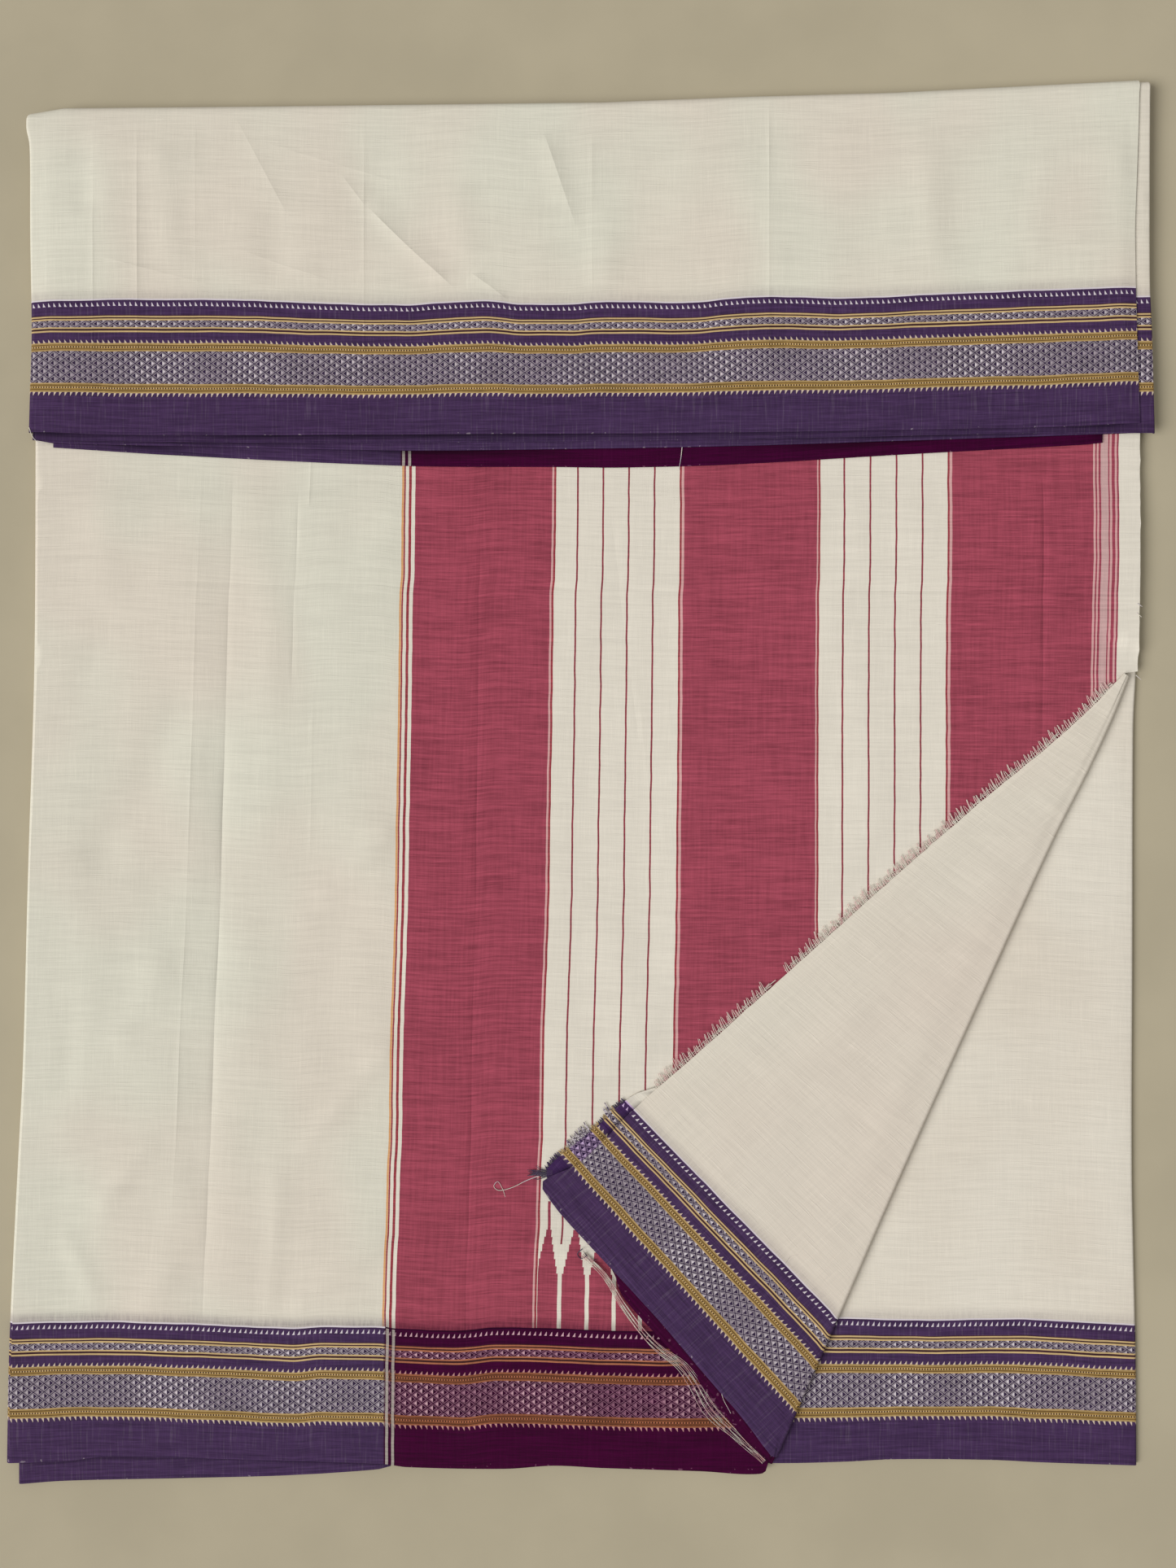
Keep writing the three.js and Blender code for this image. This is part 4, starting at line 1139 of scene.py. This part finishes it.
def stack_ring():
    """Places round a section of the stack: (face, share). Floor left to right, right edge
    up, top right to left, left edge down."""
    bottom = [("floor", s) for s in stops(0, 1, 1 / 64)]
    top = [("top", s) for s in reversed(stops(0, 1, 1 / 64))]
    edge = [k / (RING_BULGES * 6) for k in range(1, RING_BULGES * 6)]
    right = [("right", s) for s in edge]
    left = [("left", s) for s in reversed(edge)]
    return bottom + right + top + left


def stack_outline(x):
    if x < STRIP_EDGE.keys[-1]:
        return STRIP_EDGE(x)
    return PALLU_EDGE(x) if x < CORNER_FOOT else THIRD_EDGE(x)


def stack_back(x):
    return PALLU_EDGE(x) + 8.6 if x < -126 else stack_outline(x) + 4


def stack_stations():
    """Stations from the stack's lower end, round the top fold, to the band's lower end."""
    lower = [("end", inset, z) for inset, z in (
        (1.0, 0.05), (0.5, 0.5), (0.9, 0.95), (1.5, 1.2), (1.0, 1.6), (1.4, 2.1), (2.2, 2.4),
        (2.6, LOW_STACK), (2.9, 3.0), (2.8, 3.6), (3.4, THIRD_TOP))]
    lower += [("back", 0, THIRD_TOP), ("back", 0.4, SECOND_TOP)]
    rows = stops(-462, POCKET_END, 18) + [POCKET_END + 0.5] + stops(112, 455, 18)
    body = [("body", y, 0) for y in rows]
    turns = [("turn", turn, 0) for turn in reversed(HALF_TURN)]
    band = [("band", share, inset) for share, inset in (
        (0.85, 0), (0.6, 0), (0.35, 0), (0.15, 0), (0.05, 0), (0, 3))]
    tips = [("tip", inset, share) for inset, share in (
        (1.2, 0.95), (0.4, 0.8), (1.0, 0.6), (0.3, 0.45), (0.5, 0.25), (1.1, 0.08))]
    return lower + body + turns + band + tips


def stack_point(place, station):
    """One vertex of the stack, with its cloth coordinates."""
    face, share = place
    kind, value, extra = station
    fold_side = RIGHT_SIDE(-498) - STACK_INSET["right"]
    pocket_y = min(value, POCKET_END) if kind == "body" else POCKET_END
    if kind in ("end", "back"):
        left, right = STRIP_EDGE.keys[0] + STACK_INSET["strip"], fold_side
        pocket = fold_x(stack_outline(0)) - POCKET_SET_BACK
    elif kind == "body":
        left = LEFT_SIDE(value) + STACK_INSET["left"]
        right = RIGHT_SIDE(value) - STACK_INSET["right"]
        pocket = fold_x(pocket_y) - POCKET_SET_BACK
    else:
        top_right = SECOND_RIGHT(498) - STACK_INSET["band_right"]
        low_right = RIGHT_SIDE(498) - STACK_INSET["right"]
        turned = value / 180 if kind == "turn" else 0
        left = BAND_LEFT(471) + STACK_INSET["left"] + 0.5
        right = top_right + (low_right - top_right) * turned
        if kind in ("band", "tip"):
            share_up = value if kind == "band" else 0
            y = 248 + (471 - 248) * share_up
            left = BAND_LEFT(y) + STACK_INSET["left"]
            right = SECOND_RIGHT(y) - STACK_INSET["band_right"]
    if face in ("floor", "top"):
        x = left + 0.8 + (right - left - 1.6) * share
        up = 0 if face == "floor" else 1
    else:
        side = 1 if face == "right" else -1
        bulge = abs(math.sin(share * RING_BULGES * math.pi))
        x = (right if side > 0 else left) + side * (bulge * 0.9 - 0.8)
        up = share
    if kind in ("end", "back"):
        y = stack_outline(x) + value if kind == "end" else stack_back(x) + value
        z = min(extra, LOW_STACK) if x > pocket + 0.2 else extra
        return (x, y, z * up), (x, BORDER_WIDTH - value - 1)
    if kind == "body":
        in_pocket = x > pocket + 0.2 and value <= POCKET_END
        z = LOW_STACK if in_pocket else SECOND_TOP
        return (x, value, z * up), (x, -388 - value)
    floor_radius = BAND_INNER_TOP - TURN_RADIUS
    inner_middle = (SECOND_TOP + PALLU_TURNED_TOP + GAP) / 2
    inner_radius = inner_middle - SECOND_TOP
    if kind == "turn":
        ny, nz = math.sin(math.radians(value)), math.cos(math.radians(value))
        outer = (turn_centre(x) + floor_radius * ny, TURN_RADIUS + floor_radius * nz)
        inner = (turn_centre(x) + inner_radius * ny, inner_middle + inner_radius * nz)
        y = outer[0] + (inner[0] - outer[0]) * up
        return (x, y, outer[1] + (inner[1] - outer[1]) * up), (x, -800)
    low, high = PALLU_TURNED_TOP + GAP, BAND_INNER_TOP
    if kind == "tip":
        y = BAND_INNER_EDGE(x) + value
        high = low + HIDDEN_BAND * extra
        return (x, y, high + (low - high) * up), (x, BORDER_WIDTH - value)
    y = BAND_INNER_EDGE(x) + (turn_centre(x) - BAND_INNER_EDGE(x)) * value + extra
    return (x, y, high + (low - high) * up), (x, BORDER_WIDTH - (y - BAND_INNER_EDGE(x)))


def stack_material(name, colours):
    """Cloth material with thin dark lines painted on its sides as shade in the gaps between the
    layers.
    """
    material = cloth_material(name, colours)
    loom = Loom(material.node_tree)
    shader = material.node_tree.nodes["Principled BSDF"]
    colour = shader.inputs["Base Color"].links[0].from_socket
    split = loom.add("ShaderNodeSeparateXYZ")
    loom.feed(split.inputs[0], loom.add("ShaderNodeTexCoord").outputs["Object"])
    facing = loom.add("ShaderNodeSeparateXYZ")
    loom.feed(facing.inputs[0], loom.add("ShaderNodeNewGeometry").outputs["Normal"])
    # painted shade: dark lines every layer up the stack's sides, where the gaps between layers
    # would lie in shade
    side = loom.under(loom.math("ABSOLUTE", facing.outputs[2]), 0.75)
    layer = loom.fraction(loom.times(split.outputs[2], 1000.0), 0.9)
    painted_gap_shade = loom.times(side, loom.under(layer, 0.28))
    loom.feed(shader.inputs["Base Color"], loom.mix(
        loom.times(painted_gap_shade, 0.55), colour, colours["brown"]))
    lay_out(material.node_tree)
    return material


class SARI_OT_hidden_layers(bpy.types.Operator):
    """The hidden layers: stack, top fold and inside of the band, layered at the edges"""

    bl_idname = "sari.hidden_layers"
    bl_label = "Hidden layers"

    def execute(self, context):
        ring = stack_ring()
        stations = stack_stations()
        shell = bmesh.new()
        bmesh.ops.create_grid(
            shell, x_segments=len(ring), y_segments=len(stations) - 1, size=1)
        cloth = shell.verts.layers.float_vector.new("cloth_at")
        for vert in shell.verts:
            k = round((vert.co.x + 1) / 2 * len(ring)) % len(ring)
            j = round((vert.co.y + 1) / 2 * (len(stations) - 1))
            point, (u, v) = stack_point(ring[k], stations[j])
            vert.co = Vector(point) * MM
            # painted shade on the inside of the band near the second layer's edge
            near = abs(BAND_SECOND_EDGE(point[0]) - point[1]) if stations[j][0] == "band" else 9
            vert[cloth] = Vector((u * MM, v * MM, fade(near / 2.4)))
        bmesh.ops.remove_doubles(shell, verts=shell.verts[:], dist=1e-6)
        bmesh.ops.holes_fill(shell, edges=[e for e in shell.edges if e.is_boundary], sides=0)
        bmesh.ops.recalc_face_normals(shell, faces=shell.faces[:])
        piece = finish_mesh("stack_layers", shell)
        material = stack_material("sari stacked layers", palette(context))
        settle(piece, material, "hidden_layers")
        return {"FINISHED"}


class SARI_OT_third_layer(bpy.types.Operator):
    """The third layer, seen where the corner is turned back"""

    bl_idname = "sari.third_layer"
    bl_label = "Third layer"

    def execute(self, context):
        rows = stops(-484, POCKET_END - 2, step_of(context))
        sheet = {
            "top": THIRD_TOP, "rows": rows, "right": RIGHT_SIDE, "lower": THIRD_EDGE,
            "left": lambda y: fold_x(y) - POCKET_SET_BACK + 2,
            "upper": lambda x: POCKET_END - 2, "right_radius": THIRD_TOP / 2,
            "cloth": between_edges(THIRD_LINE, THIRD_EDGE),
            "lift": lambda x, y: billow(x, y, 9, 0.8) * fade((fold_x(y) + 26 - x) / 22)
            * fade(1 - (y + 484) / 25) * fade((y - 20) / 50) * fade(1 - (393 - x) / 12),
        }
        shape = columns(step_of(context), 0, THIRD_TOP / 2, 170)
        piece = grid_sheet(
            "third_layer_cloth", shape, rows, level_place(sheet), wall_of(context))
        material = cloth_material("sari third layer", palette(context), field="cream")
        settle(piece, material, "third_layer_panel")
        return {"FINISHED"}


class SARI_OT_second_layer_edge(bpy.types.Operator):
    """The second layer's selvedge below the pallu at the lower left"""

    bl_idname = "sari.second_layer_edge"
    bl_label = "Second layer's edge"

    def execute(self, context):
        rows = stops(-492, -474, 2)
        sheet = {
            "top": SECOND_TOP, "rows": rows, "left": lambda y: STRIP_EDGE.keys[0],
            "right": lambda y: STRIP_EDGE.keys[-1], "lower": STRIP_EDGE,
            "upper": lambda x: PALLU_EDGE(x) + 7, "left_radius": SECOND_TOP / 2,
            "above": PALLU_EDGE,
            "cloth": up_from(STRIP_EDGE),
            "lift": lambda x, y: 0.3 * max(0, noise.noise(Vector((x / 25, 0, 2)))),
        }
        shape = columns(4, SECOND_TOP / 2, 0, 262)
        piece = grid_sheet(
            "lower_left_edge_cloth", shape, rows, level_place(sheet), wall_of(context))
        material = cloth_material("sari field and border", palette(context))
        settle(piece, material, "lower_left_selvedge")
        return {"FINISHED"}


class SARI_OT_pallu(bpy.types.Operator):
    """The pallu: the whole top layer, rolled round the left fold"""

    bl_idname = "sari.pallu"
    bl_label = "Pallu"

    def execute(self, context):
        start = APEX.y + APEX_RISE
        step = step_of(context)
        rows = stops(-485, start - 0.8, step) + stops(start + 0.4, 464, step)
        sheet = {
            "top": PALLU_TOP, "rows": rows, "left": LEFT_SIDE, "right": edge_x,
            "lower": PALLU_EDGE, "upper": lambda x: turn_centre(x) - 10,
            "left_radius": PALLU_TOP / 2, "cloth": pallu_cloth, "lift": pallu_lift,
        }
        shape = columns(step * 0.66, PALLU_TOP / 2, 0, 795)
        piece = grid_sheet("pallu_cloth", shape, rows, level_place(sheet), wall_of(context))
        material = cloth_material(
            "sari pallu", palette(context), pallu=True, folds=PALLU_FOLDS, shade=0.55)
        settle(piece, material, "pallu_panel")
        return {"FINISHED"}


class SARI_OT_turned_corner(bpy.types.Operator):
    """The two layers of the corner that is turned back to the left"""

    bl_idname = "sari.turned_corner"
    bl_label = "Turned corner"

    def execute(self, context):
        colours = palette(context)
        step = step_of(context)
        shares = stops(0, 1, 0.025)[1:]
        bend = [("turn", turn) for turn in HALF_TURN]
        flap = [("flap", share) for share in shares]
        legs = [("leg", CORNER_LEG), ("leg", CORNER_LEG / 2), ("leg", 8), ("leg", 4)]
        inner = {
            "top": PALLU_TURNED_TOP, "width": PALLU_TURNED_WIDTH, "above": CORNER_WIDTH,
            "lift": lambda x, y: 0,
            "ragged": lambda down: 0.5 * noise.noise(Vector((down / 5, 2, 0))),
        }
        piece = grid_sheet(
            "pallu_flap_cloth", bend + flap, stops(1, 613, step), corner_place(inner),
            wall_of(context), flip=True)
        material = cloth_material("sari pallu reverse", colours, pallu=True)
        settle(piece, material, "pallu_turned_end")
        outer = {
            "top": CORNER_TOP, "width": CORNER_WIDTH,
            "lift": corner_lift,
            "ragged": lambda down: 0.7 * noise.noise(Vector((down / 4, 0, 0))),
        }
        piece = grid_sheet(
            "corner_cloth", legs + bend + flap, stops(0, 607, step), corner_place(outer),
            wall_of(context), flip=True)
        material = cloth_material(
            "sari turned corner", colours, field="flap", show_through=True, mirror=True,
            folds=CORNER_FOLDS)
        settle(piece, material, "turned_corner")
        return {"FINISHED"}


class SARI_OT_turnover(bpy.types.Operator):
    """The top turned down over the front: its two upper layers and the pallu's selvedge"""

    bl_idname = "sari.turnover"
    bl_label = "Turned-down top"

    def execute(self, context):
        colours = palette(context)
        step = step_of(context)
        wall = wall_of(context)
        lower = {
            "top": PALLU_TURNED_TOP, "rows": stops(232, 473, step),
            "left": lambda y: PALLU_BORDER_EDGE.keys[0],
            "right": lambda y: PALLU_BORDER_EDGE.keys[-1], "lower": PALLU_BORDER_EDGE,
            "upper": lambda x: turn_centre(x) - 3, "cloth": up_from(PALLU_BORDER_EDGE),
            "above": BAND_INNER_EDGE,
            "lift": lambda x, y: 0,
        }
        piece = grid_sheet(
            "pallu_selvedge_cloth", columns(step, 0, 0, 744), lower["rows"],
            level_place(lower), wall)
        material = cloth_material("sari pallu reverse", colours, pallu=True)
        settle(piece, material, "turnover_pallu_border")

        turn_rows = [("leg", TURN_LEG), ("leg", TURN_LEG / 2)]
        turn_rows += [("turn", turn) for turn in reversed(HALF_TURN)]
        second_edge = up_from(BAND_SECOND_EDGE, 96)
        second = {
            "top": BAND_SECOND_TOP, "left": lambda y: BAND_LEFT(y) + 3, "right": SECOND_RIGHT,
            "lower": BAND_SECOND_EDGE, "cloth": second_edge, "above": TURNOVER_EDGE,
            "rows": turn_rows + [("level", y) for y in stops(470, 244, step)],
            "right_radius": (BAND_SECOND_TOP - PALLU_TURNED_TOP - GAP) / 2,
            "lift": lambda x, y: 0.5 * fade((399 - x) / 4)
            * noise.noise(Vector((0, y / 25, 4))) ** 2,
        }
        shape = columns(step, 0, second["right_radius"], 790)
        piece = grid_sheet(
            "turnover_second_cloth", shape, second["rows"], turnover_place(second), wall,
            flip=True)
        material = cloth_material("sari second layer", colours, field="flap", mirror=True)
        settle(piece, material, "turnover_second_layer")

        top = {
            "top": TURNOVER_TOP, "left": BAND_LEFT, "right": BAND_RIGHT,
            "lower": TURNOVER_EDGE, "cloth": between_edges(TURNOVER_LINE, TURNOVER_EDGE),
            "rows": turn_rows + [("level", y) for y in stops(472, 248, step * 0.8)],
            "left_radius": (TURNOVER_TOP - PALLU_TOP - GAP) / 2,
            "lift": lambda x, y: band_lift(x, y)
            * fade(1 - (x + 386) / 14) * fade(1 - (394 - x) / 12),
        }
        shape = columns(step * 0.8, top["left_radius"], 0, 782)
        piece = grid_sheet(
            "turnover_cloth", shape, top["rows"], turnover_place(top), wall, flip=True)
        material = cloth_material("sari turned-down top", colours, mirror=True, folds=BAND_FOLDS)
        settle(piece, material, "top_turnover")
        return {"FINISHED"}


def yarn_object(name, paths, radius):
    """Loose yarns as one curve object, each tapering to its tip."""
    data = bpy.data.curves.new(name, "CURVE")
    data.dimensions = "3D"
    data.bevel_depth = radius * MM
    data.bevel_resolution = 0
    data.resolution_u = 3
    data.use_fill_caps = True
    for path in paths:
        spline = data.splines.new("POLY")
        spline.points.add(len(path) - 1)
        for i, (point, at) in enumerate(zip(spline.points, path)):
            point.co = (*(Vector(at) * MM), 1)
            point.radius = 1 - 0.5 * i / (len(path) - 1)
    piece = bpy.data.objects.new(name, data)
    bpy.context.scene.collection.objects.link(piece)
    return piece


FRINGE_GAP = (291, 308)
EDGE_TURN = math.radians(25)
EDGE_OUT = FOLD_IN * math.cos(EDGE_TURN) - FOLD_DOWN * math.sin(EDGE_TURN)


def fringe_paths(first, last, count, length, widths, top, lean):
    """Short yarns off a turned layer's raw edge, two to a tuft, drooping to the cloth
    below. Each is (distance down the edge, points)."""
    paths = []
    for i in range(count):
        down = first + (last - first) * (i + 0.4 * math.sin(i * 5.1)) / (count - 1)
        tuft = i // 2
        middle = first + (last - first) * (2 * tuft + 0.5) / (count - 1)
        reach = length * (1 + 0.2 * math.sin(tuft * 2.4) + 0.14 * math.sin(tuft * 0.41))
        aside = 0.9 * (middle - down) - lean * reach + 0.7 * math.sin(tuft * 2.9)
        root = fold_point(down, widths(down)) - EDGE_OUT * 0.8
        path = []
        for k in range(5):
            t = k / 4
            at = root + EDGE_OUT * (reach * t) + FOLD_DOWN * (aside * t * t)
            z = top - 0.35 - (top - 0.35 - PALLU_TOP - 1.4) * fade(1 - t)
            path.append((at.x, at.y, max(z, PALLU_TOP + 0.5)))
        paths.append((down, path))
    return paths


def frayed_edge(first, last):
    """Loosened yarns that still run along the raw edge, in broken lengths."""
    paths = []
    for row, out in enumerate((0.7, 1.5, 2.4)):
        down = first
        while down < last:
            reach = 34 + 22 * math.sin(down * 0.7 + row * 2)
            path = []
            for at in stops(down, min(down + reach, last), 4):
                sway = 0.35 * math.sin(at * 0.31 + row * 1.3)
                point = fold_point(at, CORNER_WIDTH(at)) + EDGE_OUT * (out + sway)
                path.append((point.x, point.y, CORNER_TOP - 0.5 - 0.45 * out))
            paths.append(path)
            down += reach + 9 + 7 * math.sin(down)
    return paths


def tuft_of(down):
    """Which yarns of the border end at a place on the pallu's raw edge."""
    at = fold_point(down, -PALLU_TURNED_WIDTH(down) - 1.4)
    out = corner_border(at.x, at.y)
    if out < 0:
        return None
    if 14.5 < out < 19.4 or 36.9 < out < 60.1:
        return "lattice"
    if 10.7 < out < 23.2 or 28.6 < out < 69:
        return "gold"
    return "violet"


class SARI_OT_fringe(bpy.types.Operator):
    """Frayed ends along the turned corner's raw edges"""

    bl_idname = "sari.fringe"
    bl_label = "Fringe"

    def execute(self, context):
        colours = palette(context)
        count = context.scene.sari_sizes.fringe_strands
        short = [path for down, path in fringe_paths(
            14, 404, count, 6.4, CORNER_WIDTH, CORNER_TOP, 0.25)
            if not FRINGE_GAP[0] < down < FRINGE_GAP[1]]
        piece = yarn_object("corner_fringe", short + frayed_edge(10, 400), 0.36)
        settle(piece, yarn_material("fringe yarn", colours, "rose", "cream", 2.5),
               "raw_edge_fringe")
        tufts = {"lattice": [], "gold": [], "violet": []}
        for (down, path), (_, stub) in zip(*[
            fringe_paths(406, 490, 120, length, PALLU_TURNED_WIDTH, PALLU_TURNED_TOP, 0.1)
            for length in (6.6, 3.6)
        ]):
            key = tuft_of(down)
            if key:
                tufts[key].append(path if key == "lattice" else stub)
        for key, first, second in (
            ("lattice", "white_yarn", "indigo"), ("gold", "gold", "mustard"),
            ("violet", "violet", "indigo_deep"),
        ):
            piece = yarn_object("end_strip_%s_yarns" % key, tufts[key], 0.42)
            settle(piece, yarn_material("%s end yarn" % key, colours, first, second, 1.3),
                   "end_strip_fringe")
        return {"FINISHED"}


THREAD_PATH = [
    (4, -333, 7.8), (20, -348, 8.6), (32, -367, 8.8), (46, -386, 8.7), (59, -399, 8.7),
    (74, -409, 8.7), (84, -421, 8.7), (95, -440, 8.7), (108, -455, 8.7), (121, -470, 8.7),
    (131, -481, 8.6),
]


def smooth_path(points, count):
    """count points along a smooth curve through the given ones."""
    lines = [Line([(i, point[axis]) for i, point in enumerate(points)]) for axis in range(3)]
    last = len(points) - 1
    return [tuple(line(last * k / (count - 1)) for line in lines) for k in range(count)]


# Stray yarns that lie on the cloth: x, y, z from end to end
PALE_STRAYS = [
    [(74.5, -373.3, 9.7), (80.8, -371.6, 9.9), (81.6, -379, 9.9), (78.5, -386.5, 9.8),
     (84.9, -396.9, 9.8), (95.2, -403.8, 9.8), (99.3, -415.9, 9.8), (101, -433.2, 9.8),
     (107.3, -446.4, 9.7)],
    [(-26, -277.5, 8), (-36.8, -281.8, 7.2), (-46.7, -286.4, 7), (-56.5, -288.7, 7),
     (-60.5, -285.8, 7), (-57.6, -282.5, 7.2), (-54.2, -288, 7.4), (-52.4, -293.3, 7)],
    [(72.9, 238.1, 8.7), (72.3, 232.3, 8.4), (71.6, 227.5, 8.2), (70.6, 222.2, 7.4)],
    [(-388.4, 251, 12.6), (-386.4, 245, 11.6), (-383, 241.4, 10.8), (-378.2, 239.8, 10.4)],
    [(395.4, 127.3, 7), (398.8, 125, 6.6)], [(395.2, 120.4, 7), (398.4, 117.6, 6.4)],
    [(395, 76.6, 7), (398.6, 73.4, 6.6)],
]
DARK_STRAYS = [
    [(67, -373.3, 9.7), (76.8, -374.5, 9.8), (86.6, -379.1, 9.8), (94.1, -385.4, 9.7)],
    [(146, -339.9, 9.7), (150.1, -334.7, 9.9), (157, -334.3, 9.8), (158.4, -338.7, 9.9),
     (152.4, -341.4, 9.8)],
    [(-22, -276, 8.2), (-28, -276.6, 7.8), (-33.5, -275.2, 7.2)],
    [(-22, -277.6, 8.2), (-28.6, -278.6, 7.8), (-34.8, -278.4, 7.2)],
    [(-23, -279, 8.2), (-29, -281, 7.8), (-33, -280.6, 7.2)],
    [(-21.6, -275, 8.2), (-26.6, -274, 7.8), (-31, -271.8, 7.2)],
    [(2.4, -330, 8.6), (-1.2, -333.6, 8.2), (1, -337.2, 7.8), (4.8, -335.4, 8.4),
     (3, -331.6, 8.8)],
    [(4.4, -334, 8.4), (8.2, -338.4, 8), (12.6, -338, 7.8)],
]

# The dark silk knot at the corner's point: strands from root to tip
KNOT_STRANDS = [
    [(-19, -279 + 0.4 * i, 8.4),
     (-27 - math.sin(i * 1.7), -278.6 + 0.35 * i + math.sin(i * 2.3), 8.2 + 0.1 * (i % 4)),
     (-35 + 2 * math.sin(i * 2.9), -276.6 + 2.2 * math.sin(i * 1.3), 7.6)]
    for i in range(12)
]


def surface_top(x, y):
    """Height of the uppermost cloth at a point right of the band."""
    offset = Vector((x, y)) - APEX
    down, inward = offset.dot(FOLD_DOWN), offset.dot(FOLD_IN)
    if 0 < down < 607 and 0 < inward < CORNER_WIDTH(down):
        share = inward / CORNER_WIDTH(down)
        return CORNER_TOP + corner_lift(x, y) * fade(1 - share * 6) * fade(share * 12 - 11)
    if 0 < down < 613 and 0 < inward < PALLU_TURNED_WIDTH(down):
        return PALLU_TURNED_TOP
    return PALLU_TOP + pallu_lift(x, y)


class SARI_OT_threads(bpy.types.Operator):
    """Loose threads, their knot, and the stray yarns that lie on the cloth"""

    bl_idname = "sari.threads"
    bl_label = "Loose threads"

    def execute(self, context):
        colours = palette(context)
        paths = []
        for i in range(9):
            path = smooth_path(THREAD_PATH, 34 - 2 * (i % 3))
            yarn = []
            for k, point in enumerate(path):
                t = k / (len(path) - 1)
                aside = 0.3 + 1.0 * i * (0.35 + t) * fade(t * 3 - 2)
                aside += (0.5 + 1.2 * t) * math.sin(t * (4 + 0.5 * i) + 1.9 * i)
                yarn.append(tuple(Vector(point) + Vector((-0.72, -0.69, 0)) * aside
                                  + Vector((0, 0, 0.35 * math.sin(k * 0.5 + i)))))
            paths.append(yarn)
        piece = yarn_object("selvedge_yarns", paths, 0.23)
        material = yarn_material("loose yarn", colours, "cream", "pink", 7)
        settle(piece, material, "selvedge_threads")
        for name, rows, radius, first, second in (
            ("pale_stray_yarns", PALE_STRAYS, 0.3, "cream", "white_yarn"),
            ("dark_stray_yarns", DARK_STRAYS + KNOT_STRANDS, 0.34, "indigo_deep", "indigo"),
        ):
            strays = [
                [(x, y, max(z, surface_top(x, y) + radius + 0.1))
                 for x, y, z in smooth_path(row, 6 * len(row))] for row in rows]
            piece = yarn_object(name, strays, radius)
            settle(piece, yarn_material(name + " cotton", colours, first, second, 7),
                   None)
        return {"FINISHED"}


class SARI_PT_panel(bpy.types.Panel):
    """The sari's pieces and settings"""

    bl_idname = "SARI_PT_panel"
    bl_label = "Folded Sari"
    bl_space_type = "VIEW_3D"
    bl_region_type = "UI"
    bl_category = "Sari"

    def draw(self, context):
        column = self.layout.column()
        for operator in OPERATORS:
            column.operator(operator.bl_idname)
        for name in SariSizes.__annotations__:
            column.prop(context.scene.sari_sizes, name)
        for name in SariColours.__annotations__:
            column.prop(context.scene.sari_colours, name)


OPERATORS = (
    SARI_OT_stage, SARI_OT_hidden_layers, SARI_OT_third_layer, SARI_OT_second_layer_edge,
    SARI_OT_pallu, SARI_OT_turned_corner, SARI_OT_turnover, SARI_OT_fringe, SARI_OT_threads,
)
CLASSES = (SariSizes, SariColours, *OPERATORS, SARI_PT_panel)


def register():
    for cls in CLASSES:
        bpy.utils.register_class(cls)
    bpy.types.Scene.sari_sizes = PointerProperty(type=SariSizes)
    bpy.types.Scene.sari_colours = PointerProperty(type=SariColours)


def unregister():
    del bpy.types.Scene.sari_sizes
    del bpy.types.Scene.sari_colours
    for cls in reversed(CLASSES):
        bpy.utils.unregister_class(cls)


def main():
    register()
    bpy.ops.sari.stage()
    bpy.ops.sari.hidden_layers()
    bpy.ops.sari.third_layer()
    bpy.ops.sari.second_layer_edge()
    bpy.ops.sari.pallu()
    bpy.ops.sari.turned_corner()
    bpy.ops.sari.turnover()
    bpy.ops.sari.fringe()
    bpy.ops.sari.threads()


if __name__ == "__main__":
    main()
